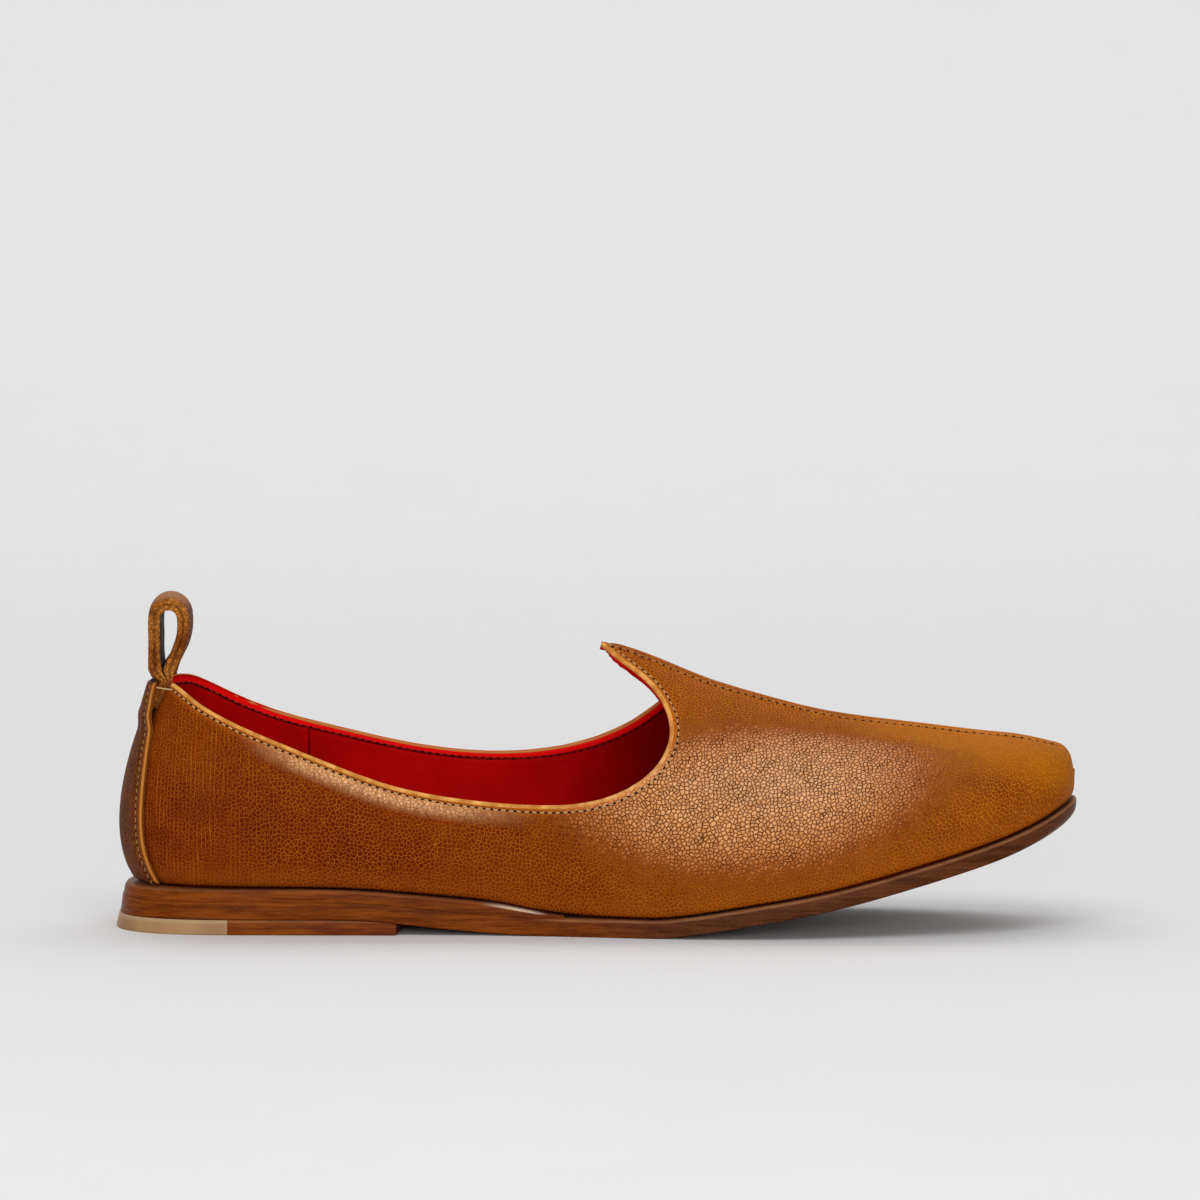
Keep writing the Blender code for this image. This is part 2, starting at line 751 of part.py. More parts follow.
def make_back_strip(surface):
    """Strip over the heel seam, lifted at the top where the pull loop's tail is under it."""
    across = STRIP_COLUMNS
    levels = (BACK_STRIP_ROWS[0][0], STRIP_LIFT_START, STRIP_LIFT_END, BACK_STRIP_ROWS[-1][0])
    heights = [levels[0]]
    for start, end, rows in zip(levels, levels[1:], STRIP_ROWS):
        heights += [start + (end - start) * j / rows for j in range(1, rows + 1)]
    up = len(heights) - 1
    skins = []
    for depth in (STRIP_GAP, STRIP_GAP + STRIP):
        skin = []
        for z in heights:
            edge = back_strip.at("edge_column", z)
            away = depth + strip_lift(z)
            row = []
            for i in range(across + 1):
                way = 2 * i / across - 1
                side = LATERAL if way < 0 else MEDIAL
                column = UPPER_HEEL_X + (edge - UPPER_HEEL_X) * abs(way) ** 2
                height = height_at_z(column, z, side)
                level_normal = last_normal(column, height, side) * (1.0, 1.0, 0.0)
                level_normal /= np.linalg.norm(level_normal)
                row.append(last_point(column, height, side) + level_normal * away)
            skin.append(row)
        skins.append(skin)
    points = [point for skin in skins for row in skin for point in row]
    width = across + 1
    layer = width * (up + 1)
    faces = []
    for j in range(up):
        for i in range(across):
            a = j * width + i
            faces.append((a, a + 1, a + 1 + width, a + width))
            faces.append((a + layer, a + width + layer, a + 1 + width + layer, a + 1 + layer))
    rim = list(range(width))
    rim += [j * width + across for j in range(1, up + 1)]
    rim += [up * width + i for i in range(across - 1, -1, -1)]
    rim += [j * width for j in range(up - 1, 0, -1)]
    for a, b in zip(rim, rim[1:] + rim[:1]):
        faces.append((a, b, b + layer, a + layer))
    return add_object("back_strip", points, faces, surface)


def smooth(fraction):
    """0 to 1 with a level start and end, and limited outside them."""
    fraction = min(max(fraction, 0.0), 1.0)
    return fraction * fraction * (3 - 2 * fraction)


def strand_thickness(z):
    """Thickness of each of the tail's two strands."""
    share = (z - STRAP_TAIL_BOTTOM) / (STRAP_TAIL_TOP - STRAP_TAIL_BOTTOM)
    share = min(max(share, 0.0), 1.0)
    return STRAP_END_THICKNESS + (STRAP_COLLAR_THICKNESS - STRAP_END_THICKNESS) * share


def strip_lift(z):
    """How far the loop's tail lifts the back strip off the upper."""
    over_tail = 2 * strand_thickness(z) + STRAP_SLIT + 2 * STRAP_GAP - STRIP_GAP
    ramp = (z - STRIP_LIFT_START) / (STRIP_LIFT_END - STRIP_LIFT_START)
    return over_tail * smooth(ramp)


@functools.lru_cache(maxsize=None)
def heel_contour(z):
    """Level section of the upper's outer surface round the heel: its y and x values."""
    columns = [UPPER_HEEL_X + HEEL_ROUND * way
               for way in round_end(2 * HEEL_COLUMNS, HEEL_POWER)]
    points = [last_point(column, height_at_z(column, z, MEDIAL), MEDIAL)
              for column in columns]
    return [point[1] for point in points], [point[0] for point in points]


def heel_x(y, z):
    """x of the upper's outer surface at the heel, at a level z and distance y aside."""
    return float(np.interp(abs(y), *heel_contour(z)))


@functools.lru_cache(maxsize=None)
def strip_contour(z):
    """Level section of the back strip's inner face: its y and x values."""
    y, x = (np.array(values) for values in heel_contour(z))
    turn = np.stack([np.gradient(x), np.gradient(y)])
    turn[:, 0] = (0.0, 1.0)
    turn /= np.linalg.norm(turn, axis=0)
    away = STRIP_GAP + strip_lift(z)
    return y + away * turn[0], x - away * turn[1]


def strap_line():
    """Middle line of the folded strap: (x, z, thickness) from one end to the other."""
    back_tail = []
    front_tail = []
    tail_steps = 4
    for i in range(tail_steps + 1):
        z = STRAP_TAIL_BOTTOM + (STRAP_TAIL_TOP - STRAP_TAIL_BOTTOM) * i / tail_steps
        thin = strand_thickness(z)
        upper_x = heel_x(0.0, z) - STRAP_GAP
        front_tail.append((upper_x - thin / 2, z, thin))
        back_tail.append((upper_x - thin * 1.5 - STRAP_SLIT, z, thin))
    arc = []
    for i in range(ARC_TURNS + 1):
        angle = math.pi * (1 - i / ARC_TURNS)
        arc.append((LOOP_ARC_X + LOOP_ARC_RADIUS * math.cos(angle),
                    LOOP_ARC_Z + LOOP_ARC_RADIUS * math.sin(angle), STRAP_FULL))
    return [*back_tail, *STRAP_BACK_RISE_ROWS, *arc, *STRAP_FRONT_FALL_ROWS,
            *reversed(front_tail)]


def make_pull_loop(surface):
    """Strap folded in two: a standing loop, and a flat tail under the back strip."""
    line = strap_line()
    path = Path(STRAP, line)
    steps = STRAP_STEPS
    small = 0.004
    sections = []
    for i in range(steps + 1):
        x, z, thickness = path.at(i / steps)
        before = path.at(max(i / steps - small, 0.0))
        after = path.at(min(i / steps + small, 1.0))
        along = np.array([after[0] - before[0], after[1] - before[1]])
        along /= np.linalg.norm(along)
        out = np.array([-along[1], along[0]])
        sections.append(strap_section(x, z, out, thickness, i < steps / 2))
    size = len(sections[0])
    points = [point for section in sections for point in section]
    faces = [tuple(range(size)), tuple(steps * size + n for n in reversed(range(size)))]
    for i in range(steps):
        for n in range(size):
            following = (n + 1) % size
            a = i * size + n
            b = i * size + following
            faces.append((a, b, b + size, a + size))
    return add_object("pull_loop", points, faces, surface)


def strap_section(x, z, out, thickness, rising):
    """Cross-section of the strap, crowned where it stands clear of the heel."""
    half = STRAP_HALF_WIDTH
    full = (thickness - STRAP_COLLAR_THICKNESS) / (STRAP_FULL - STRAP_COLLAR_THICKNESS)
    full = min(max(full, 0.0), 1.0)
    crown = full * (STRAP_CROWN + STRAP_TOP_CROWN * max(out[1], 0.0) ** 2)
    chamfer = min(STRAP_EDGE_BREAK, thickness / 3)
    flat = [half * (2 * i / STRAP_FACETS - 1) for i in range(1, STRAP_FACETS)]
    flat = [chamfer - half] + flat + [half - chamfer]
    arch = [crown * (1 - (y / half) ** 2) for y in flat]
    inner = [(y, STRAP_BOW * rise - thickness / 2) for y, rise in zip(flat, arch)]
    outer = [(y, thickness / 2 + rise) for y, rise in zip(flat, arch)]
    profile = inner
    profile += [(half, -thickness / 2 + chamfer), (half, thickness / 2 - chamfer)]
    profile += reversed(outer)
    profile += [(-half, thickness / 2 - chamfer), (-half, -thickness / 2 + chamfer)]
    section = []
    for y, offset in profile:
        at_strip, at_upper = strand_wraps(y, z)
        outside = at_strip if rising else at_upper
        between = (at_strip + at_upper) / 2
        share = min(offset / thickness + 0.5, 1.0)
        wrap = between + (outside - between) * share
        section.append((x + out[0] * offset + wrap, y, z + out[1] * offset))
    return section


def strand_wraps(y, z):
    """How far the faces next to the strip and the upper bend forward at y."""
    level = min(z, STRAP_TAIL_TOP)
    strip_y, strip_x = strip_contour(level)
    at_strip = float(np.interp(abs(y), strip_y, strip_x)) - strip_x[0]
    at_upper = heel_x(y, level) - heel_x(0.0, level)
    at_strip *= smooth((BACK_STRAIGHT_FROM - z) / (BACK_STRAIGHT_FROM - STRAP_TAIL_TOP))
    at_upper *= smooth((FRONT_STRAIGHT_FROM - z) / (FRONT_STRAIGHT_FROM - STRAP_TAIL_TOP))
    return at_strip, at_upper


def centre_over_origin(objects):
    """Move every mesh so that the shoe's box stands centred on the origin, in metres."""
    corners = np.array([vertex.co for made in objects for vertex in made.data.vertices])
    low = corners.min(axis=0)
    high = corners.max(axis=0)
    centre = ((low[0] + high[0]) / 2, (low[1] + high[1]) / 2, low[2])
    for made in objects:
        for vertex in made.data.vertices:
            vertex.co = [(value - middle) * MM for value, middle in zip(vertex.co, centre)]


def main():
    for existing in list(bpy.data.objects):
        bpy.data.objects.remove(existing, do_unlink=True)
    tan = material("tan_leather", (0.42, 0.17, 0.045), 0.45)
    sole_leather = material("sole_leather", (0.16, 0.065, 0.03), 0.5)
    rubber = material("heel_rubber", (0.55, 0.40, 0.25), 0.6)
    lining = material("red_lining", (0.62, 0.02, 0.015), 0.5)
    make_outsole(sole_leather)
    make_heel_seat(sole_leather)
    make_heel_lift(rubber, sole_leather)
    make_upper(tan)
    make_insole(lining)
    make_back_strip(tan)
    make_pull_loop(tan)
    centre_over_origin(list(bpy.data.objects))


main()
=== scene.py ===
"""Looks of a right khussa: grained tan leather, red lining, stitching and a dark sole.

The forms are worked out in millimetres in the shoe's own frame: x from the back of the
heel (0) to the toe (300), y negative on the outer (lateral) side, z up from the floor.
in_frame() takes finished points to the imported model's frame, in metres.
"""
import math

import bmesh
import bpy
import numpy as np
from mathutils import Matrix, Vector, noise
from mathutils.bvhtree import BVHTree
from mathutils.kdtree import KDTree


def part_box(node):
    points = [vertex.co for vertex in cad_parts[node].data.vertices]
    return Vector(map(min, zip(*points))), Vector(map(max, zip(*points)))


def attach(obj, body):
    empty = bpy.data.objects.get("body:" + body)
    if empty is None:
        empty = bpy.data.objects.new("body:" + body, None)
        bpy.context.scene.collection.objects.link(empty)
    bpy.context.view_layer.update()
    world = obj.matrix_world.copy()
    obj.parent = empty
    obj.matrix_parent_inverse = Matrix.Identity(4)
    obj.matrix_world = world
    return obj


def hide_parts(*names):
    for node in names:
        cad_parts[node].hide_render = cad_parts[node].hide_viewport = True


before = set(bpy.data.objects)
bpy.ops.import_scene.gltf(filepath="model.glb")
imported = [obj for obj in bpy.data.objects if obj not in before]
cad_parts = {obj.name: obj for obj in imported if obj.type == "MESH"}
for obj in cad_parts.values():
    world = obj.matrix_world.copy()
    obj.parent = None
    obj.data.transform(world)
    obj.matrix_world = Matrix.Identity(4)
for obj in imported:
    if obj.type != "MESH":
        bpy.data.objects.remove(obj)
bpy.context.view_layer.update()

MM = 0.001
LATERAL = -1
MEDIAL = 1

# ---- sizes of the shoe, mm ----------------------------------------------------------
GAP = 0.3
WALL = 2.4
SOLE_LENGTH = 300.0
HEEL_ROUND = 40.0
HEEL_POWER = 2.6
TOE_ROUND = 50.0
TOE_POWER = 2.25
UPPER_HEEL_X = 8.1
UPPER_TOE_X = 298.8
OUTSOLE = 5.4
OUTSOLE_HEEL_BOTTOM = 1.3
OUTSOLE_HEEL_TOP = 2.0
OUTSOLE_TOE_BOTTOM = 299.8
LIFT = 4.4
LIFT_FLARE = 1.0
LIFT_BREAST_LATERAL = 88.0
LIFT_BREAST_MEDIAL = 93.0
RUBBER_FRONT = 36.0
SEAT_HEEL_BOTTOM = 2.2
SEAT_HEEL_RIM = 2.8
SEAT_FRONT = 140.0
FLAT_START = 136.0
FLAT_END = 168.0
BED_END = 160.0

# ---- finer sizes that only the looks need -------------------------------------------
LEATHER = 1.3              # outer leather
LINING_DROP = 0.62         # the lining stops this far below the top edge
TOP_STITCH_DEPTH = 1.95    # stitches below the top edge, at the quarters
THROAT_STITCH_DEPTH = 2.6  # and round the throat
SEAM_ROW = 3.1             # each vamp row from the centre seam
STRIP_ROW = 2.9            # back strip stitches from its raw edge
STRIP_THICK = 1.6
STRAP_ROW = 2.4            # loop stitches from the strap's edge
LINING_SEAM_X = 58.7
TONGUE_TIP_X = 151.5
SEAM_START_X = 154.0       # the vamp rows run from here
SEAM_END_X = 293.5         # to here, at the toe
BAR_TACK_Z = 75.2
HEEL_MIDDLE_X = 45.0
# Stitch rows: pitch, stitch length, thread radius, hole length and hole width.
STITCHES = {
    "top": (2.4, 1.5, 0.2, 1.3, 0.66),
    "lining": (2.4, 1.6, 0.2, 1.1, 0.7),
    "seam": (2.5, 1.5, 0.22, 1.15, 0.66),
    "strip": (2.2, 1.4, 0.2, 0.8, 0.5),
    "loop": (2.0, 1.3, 0.18, 0.7, 0.45),
}
STITCH_SIZES = ("Pitch", "Stitch length", "Thread radius", "Hole length", "Hole width")

# The painted highlight patch on each side of the vamp, which also gets more gloss and
# deeper grain: its middle, and its reach each way from there.
HIGHLIGHT_X = 200.0
HIGHLIGHT_UP = 35.0
HIGHLIGHT_AHEAD = 60.0
HIGHLIGHT_BEHIND = 70.0
HIGHLIGHT_ABOVE = 21.0
HIGHLIGHT_BELOW = 26.0

CAMERA_AIM = (151.0, 0.0, 101.4)
CAMERA_DISTANCE = 2300.0
CAMERA_TILT = 4.3          # degrees down
CAMERA_LENS = 221.352

SOLE_OUTLINE = ("x", "lateral", "medial", "swing")
SOLE_OUTLINE_ROWS = (
    (0.0, 30.6, 30.6, 0.0), (40.0, 31.2, 31.0, 0.0), (75.0, 31.6, 30.2, 0.0),
    (105.0, 32.0, 28.8, -0.3), (130.0, 33.4, 29.4, -0.5), (155.0, 38.2, 34.2, -0.2),
    (180.0, 43.6, 42.0, 0.4), (205.0, 46.8, 46.6, 1.0), (228.0, 46.0, 46.0, 1.8),
    (255.0, 42.0, 42.4, 2.8), (280.0, 38.0, 38.4, 3.6), (300.0, 35.5, 36.0, 4.0),
)
SOLE_PROFILE = ("x", "underside")
SOLE_PROFILE_ROWS = (
    (0.0, 4.7), (35.0, 4.7), (62.0, 4.65), (84.0, 4.0), (97.0, 2.6), (110.0, 1.4),
    (124.0, 0.4), (136.0, 0.0), (150.0, 0.0), (168.0, 0.0), (184.0, 2.0), (200.0, 4.8),
    (220.0, 8.5), (245.0, 14.8), (262.0, 19.6), (277.0, 24.2), (289.0, 28.9), (300.0, 34.6),
)
BED = ("x", "z")
BED_ROWS = (
    (0.0, 13.8), (35.0, 13.8), (60.0, 13.7), (76.0, 13.3), (88.0, 12.5), (101.0, 11.4),
    (112.0, 10.4), (122.0, 9.0), (131.0, 7.3), (140.0, 6.2), (150.0, 5.6), (160.0, 5.4),
)
CREST = ("x", "z")
CREST_ROWS = (
    (36.0, 104.0), (70.0, 105.0), (105.0, 102.0), (130.0, 94.6), (151.5, 88.4),
    (165.0, 84.9), (182.0, 78.0), (200.0, 72.3), (220.0, 67.0), (245.0, 63.3),
    (270.0, 60.2), (282.0, 58.9), (292.8, 56.4),
)
LAST_COLUMNS = ("x", "crest_x", "inset", "lean", "rise", "shoulder", "ridge")
LAST_COLUMN_ROWS = (
    (8.1, 36.0, 3.2, 0.78, 0.27, 0.37, 0.00), (35.0, 50.0, 3.0, 0.48, 0.33, 0.60, 0.00),
    (65.0, 69.0, 2.8, 0.30, 0.37, 0.76, 0.00), (100.0, 100.0, 2.6, 0.30, 0.38, 0.75, 0.00),
    (135.0, 135.0, 2.2, 0.36, 0.38, 0.70, 0.03),
    (160.0, 160.0, 1.8, 0.36, 0.38, 0.64, 0.11),
    (185.0, 185.0, 1.4, 0.34, 0.38, 0.61, 0.15),
    (212.0, 210.0, 1.3, 0.40, 0.36, 0.60, 0.14),
    (245.0, 239.0, 1.3, 0.44, 0.38, 0.60, 0.12),
    (272.0, 264.0, 1.4, 0.42, 0.40, 0.66, 0.06),
    (288.0, 281.0, 1.5, 0.32, 0.40, 0.84, 0.03),
    (298.8, 292.8, 1.6, 0.20, 0.38, 1.16, 0.00),
)
TOPLINE = ("column", "z")
LATERAL_TOPLINE_ROWS = (
    (8.1, 77.4), (13.0, 76.2), (22.0, 72.2), (36.0, 66.0), (50.0, 60.4), (68.0, 53.2),
    (87.0, 46.4), (108.0, 42.4), (130.0, 40.7), (148.0, 42.0), (161.0, 47.0), (169.5, 54.5),
    (172.6, 63.0), (170.8, 70.6), (165.0, 78.0), (158.0, 83.2), (151.5, 88.1),
)
MEDIAL_TOPLINE_ROWS = (
    (8.1, 77.4), (13.0, 77.6), (22.0, 75.4), (36.0, 69.6), (50.0, 64.4), (68.0, 59.6),
    (87.0, 55.2), (108.0, 52.2), (130.0, 52.3), (147.0, 55.6), (160.0, 61.2), (169.0, 67.8),
    (172.2, 72.4), (170.6, 76.2), (165.6, 79.6), (158.4, 83.8), (151.5, 88.1),
)
BACK_STRIP = ("z", "edge_column")
BACK_STRIP_ROWS = (
    (14.7, 15.8), (24.0, 14.8), (37.0, 14.2), (50.0, 13.5), (60.0, 12.3), (68.0, 11.1),
    (76.6, 10.3),
)
STRIP_GAP = 0.4
STRIP_LIFT_START = 61.0
STRIP_LIFT_END = 67.8

STRAP = ("x", "z", "thickness")
STRAP_BACK_RISE_ROWS = (
    (12.2, 78.3, 2.2), (12.2, 79.6, 2.8), (12.35, 82.0, 3.15), (12.6, 85.5, 3.55),
    (12.75, 90.0, 3.7),
)
STRAP_FRONT_FALL_ROWS = (
    (21.5, 92.2, 3.7), (20.6, 88.5, 3.65), (18.8, 85.0, 3.4), (16.5, 82.0, 2.7),
    (14.9, 79.6, 2.1), (14.35, 78.2, 1.5),
)
STRAP_HALF_WIDTH = 12.0
STRAP_TAIL_BOTTOM = 68.5
STRAP_TAIL_TOP = 77.0
STRAP_END_THICKNESS = 0.6
STRAP_COLLAR_THICKNESS = 1.25
STRAP_FULL = 3.7
STRAP_SLIT = 0.3
STRAP_GAP = 0.37
STRAP_CROWN = 0.5
STRAP_TOP_CROWN = 1.0
STRAP_BOW = 0.4
LOOP_ARC_X = 17.15
LOOP_ARC_Z = 96.4
LOOP_ARC_RADIUS = 4.4
BACK_STRAIGHT_FROM = 80.5
FRONT_STRAIGHT_FROM = 88.0

# Creases in the upper: side, the x and z of a line's top and of its foot, half width, and
# depth (a trough is negative, a ridge positive).
CREASE_ROWS = (
    (LATERAL, 229.0, 60.0, 227.5, 43.0, 1.5, -0.22),
    (LATERAL, 232.5, 60.0, 231.5, 45.0, 1.7, 0.14),
    (LATERAL, 236.5, 58.5, 235.0, 47.0, 1.3, -0.16),
    (LATERAL, 196.0, 66.0, 199.0, 53.0, 1.6, -0.16),
    (LATERAL, 203.0, 63.0, 205.0, 50.0, 1.5, -0.12),
    (LATERAL, 214.0, 60.0, 214.5, 46.0, 1.8, -0.12),
    (LATERAL, 181.0, 40.0, 206.0, 33.0, 3.0, -0.20),
    (LATERAL, 178.0, 46.0, 200.0, 41.0, 2.6, 0.14),
    (LATERAL, 26.0, 62.0, 29.0, 24.0, 1.6, -0.14),
    (LATERAL, 33.0, 58.0, 35.0, 26.0, 1.6, -0.12),
    (LATERAL, 21.0, 60.0, 23.5, 22.0, 1.3, -0.14),
    (MEDIAL, 226.0, 58.0, 224.0, 42.0, 1.6, -0.20),
    (MEDIAL, 231.5, 58.0, 230.0, 44.0, 1.7, 0.12),
    (MEDIAL, 201.0, 62.0, 203.5, 48.0, 1.6, -0.16),
    (MEDIAL, 178.0, 44.0, 204.0, 36.0, 3.0, -0.20),
    (MEDIAL, 24.0, 60.0, 27.0, 24.0, 1.6, -0.14),
    (MEDIAL, 32.0, 57.0, 34.0, 27.0, 1.6, -0.12),
)


class Table:
    """Natural cubic splines through the rows of a table, one for each named column."""

    def __init__(self, names, rows):
        data = np.array(rows, dtype=float)
        self.key = data[:, 0]
        self.values = {name: data[:, i] for i, name in enumerate(names)}
        self.bends = {name: self.solve_bends(data[:, i]) for i, name in enumerate(names)}

    def solve_bends(self, values):
        count = len(self.key)
        step = np.diff(self.key)
        matrix = np.eye(count)
        right = np.zeros(count)
        for i in range(1, count - 1):
            matrix[i, i - 1] = step[i - 1]
            matrix[i, i] = 2 * (step[i - 1] + step[i])
            matrix[i, i + 1] = step[i]
            rise = (values[i + 1] - values[i]) / step[i]
            right[i] = 6 * (rise - (values[i] - values[i - 1]) / step[i - 1])
        return np.linalg.solve(matrix, right)

    def at(self, name, key):
        key = np.clip(key, self.key[0], self.key[-1])
        i = np.clip(np.searchsorted(self.key, key, side="right") - 1, 0, len(self.key) - 2)
        step = self.key[i + 1] - self.key[i]
        a = (self.key[i + 1] - key) / step
        b = 1 - a
        values = self.values[name]
        bends = self.bends[name]
        bend = ((a ** 3 - a) * bends[i] + (b ** 3 - b) * bends[i + 1]) * step * step / 6
        return a * values[i] + b * values[i + 1] + bend


class Path:
    """A smooth curve through rows of points, read by the fraction of its length."""

    def __init__(self, names, rows):
        points = np.array(rows, dtype=float)
        steps = np.linalg.norm(np.diff(points, axis=0), axis=1)
        along = np.concatenate([[0.0], np.cumsum(steps)])
        self.table = Table(("along",) + names, np.column_stack([along / along[-1], points]))
        self.names = names

    def at(self, fraction):
        return [self.table.at(name, fraction) for name in self.names]


sole_outline = Table(SOLE_OUTLINE, SOLE_OUTLINE_ROWS)
sole_profile = Table(SOLE_PROFILE, SOLE_PROFILE_ROWS)
bed = Table(BED, BED_ROWS)
crest = Table(CREST, CREST_ROWS)
last_columns = Table(LAST_COLUMNS, LAST_COLUMN_ROWS)
back_strip_edge = Table(BACK_STRIP, BACK_STRIP_ROWS)
toplines = {
    LATERAL: Path(TOPLINE, LATERAL_TOPLINE_ROWS),
    MEDIAL: Path(TOPLINE, MEDIAL_TOPLINE_ROWS),
}


# ---- the sole's and the last's own functions ----------------------------------------
def smooth(fraction):
    """0 to 1 with a level start and end, and limited outside them."""
    fraction = np.clip(fraction, 0.0, 1.0)
    return fraction * fraction * (3 - 2 * fraction)


def bump(distance, width):
    """1 at no distance, falling softly to nothing past about twice the width."""
    return np.exp(-(distance / width) ** 2)


def end_rounding(x, heel_x, toe_x):
    into_heel = np.clip((heel_x + HEEL_ROUND - x) / HEEL_ROUND, 0.0, 1.0)
    into_toe = np.clip((x - toe_x + TOE_ROUND) / TOE_ROUND, 0.0, 1.0)
    heel = (1 - into_heel ** HEEL_POWER) ** (1 / HEEL_POWER)
    toe = (1 - into_toe ** TOE_POWER) ** (1 / TOE_POWER)
    return heel * toe


def outline_y(x, side, heel_x, toe_x, inset):
    name = "lateral" if side == LATERAL else "medial"
    half = (sole_outline.at(name, x) - inset) * end_rounding(x, heel_x, toe_x)
    return sole_outline.at("swing", x) + side * half


def underside_z(x):
    flat = (x >= FLAT_START) & (x <= FLAT_END)
    return np.where(flat, 0.0, np.maximum(sole_profile.at("underside", x), 0.0))


def outsole_top_z(x):
    return underside_z(x) + OUTSOLE


def bed_z(x):
    return np.where(np.asarray(x) >= BED_END, outsole_top_z(x), bed.at("z", x))


def last_points(column, height, side):
    """Points of the last's outer surface: columns at the feather edge, heights 0 to 1."""
    column, height = np.broadcast_arrays(np.asarray(column, float),
                                         np.asarray(height, float))
    inset = last_columns.at("inset", column)
    foot_y = outline_y(column, side, UPPER_HEEL_X, UPPER_TOE_X, inset)
    foot = np.stack([column, foot_y, bed_z(column) + GAP], axis=-1)
    crest_x = last_columns.at("crest_x", column)
    top = np.stack([crest_x, sole_outline.at("swing", crest_x), crest.at("z", crest_x)],
                   axis=-1)
    reach_vector = (foot - top)[..., :2]
    reach = np.linalg.norm(reach_vector, axis=-1)
    outward = reach_vector / reach[..., None]
    tall = top[..., 2] - foot[..., 2]
    rise = last_columns.at("rise", column) * tall
    shoulder = last_columns.at("shoulder", column) * reach
    lean = last_columns.at("lean", column)
    crest_slope = (crest.at("z", crest_x + 1) - crest.at("z", crest_x - 1)) / 2
    fall = (crest_slope * outward[..., 0]
            - last_columns.at("ridge", column) * np.abs(outward[..., 1]))
    up_foot = np.stack([lean * outward[..., 0], lean * outward[..., 1],
                        np.ones_like(lean)], axis=-1)
    down_top = np.stack([outward[..., 0], outward[..., 1], fall], axis=-1)
    near_foot = foot + rise[..., None] * up_foot
    near_top = top + shoulder[..., None] * down_top
    height = height[..., None]
    rest = 1 - height
    return (rest ** 3 * foot + 3 * rest ** 2 * height * near_foot
            + 3 * rest * height ** 2 * near_top + height ** 3 * top)


def close_in(low, high, halvings, is_below):
    """The place between low and high where is_below() stops holding."""
    for _ in range(halvings):
        middle = (low + high) / 2
        below = is_below(middle)
        low = np.where(below, middle, low)
        high = np.where(below, high, middle)
    return (low + high) / 2


def height_at_z(column, z, side):
    low = np.zeros(np.broadcast(column, z).shape)
    return close_in(low, np.ones_like(low), 26,
                    lambda height: last_points(column, height, side)[..., 2] < z)


def last_normals(column, height, side):
    small = 0.02
    low_column = np.maximum(column - 10 * small, UPPER_HEEL_X + small)
    along = (last_points(low_column + 20 * small, height, side)
             - last_points(low_column, height, side))
    up = (last_points(column, np.minimum(height + small, 1.0), side)
          - last_points(column, np.maximum(height - small, 0.0), side))
    normal = np.cross(along, up) * -side
    return normal / np.linalg.norm(normal, axis=-1, keepdims=True)


def round_end(steps, power):
    """Ways from a rounded end's tip (0) to full width (1), even round the outline."""
    angles = np.linspace(0, math.pi / 2, steps + 1)
    return 1 - np.maximum(np.cos(angles), 0.0) ** (2 / power)


# ---- the upper's dense grid ---------------------------------------------------------
def throat_front(side):
    fractions = np.arange(4000) / 4000
    return fractions[np.argmax(toplines[side].at(fractions)[0])]


def fraction_at_column(side, column, front):
    return close_in(np.zeros_like(column), np.full_like(column, front), 34,
                    lambda fraction: toplines[side].at(fraction)[0] < column)


def topline_pairs(side, heel_steps, quarter_steps, tongue_steps):
    """(column, height) arrays on the top line for the quarter and for the tongue."""
    front = throat_front(side)
    heel = UPPER_HEEL_X + HEEL_ROUND * round_end(heel_steps, HEEL_POWER)
    fractions = fraction_at_column(side, heel, front)
    fractions[0] = 0.0
    rest = np.linspace(fractions[-1], front, quarter_steps + 1)[1:]
    tongue = front + (1 - front) * np.linspace(0, 1, tongue_steps + 1)
    quarter = np.concatenate([fractions, rest])
    pairs = []
    for part in (quarter, tongue):
        column, z = toplines[side].at(part)
        pairs.append((column, height_at_z(column, z, side)))
    return pairs


def low_fractions(rows):
    """Heights from the feather edge to the top line, close together at both ends."""
    even = 1 - np.linspace(0, 1, rows + 1)
    spaced = 1 - (0.35 * even + 0.65 * even ** 2)
    return np.unique(np.concatenate([[0.0, 0.006, 0.014, 0.026], spaced]))


def high_fractions(rows):
    even = np.linspace(0, 1, rows + 1)
    return even - 0.6 * np.sin(2 * math.pi * even) / (2 * math.pi)


def vamp_shares(reach, fine_steps, steps, toe_steps):
    """Shares of the way from the throat to the toe, close at the throat and toe."""
    fine = 8.0
    rounded = reach - TOE_ROUND
    parts = [np.linspace(0, fine, fine_steps + 1)[:-1],
             np.linspace(fine, rounded, steps + 1)[:-1],
             reach - TOE_ROUND * round_end(toe_steps, TOE_POWER)[::-1]]
    return np.concatenate(parts) / reach


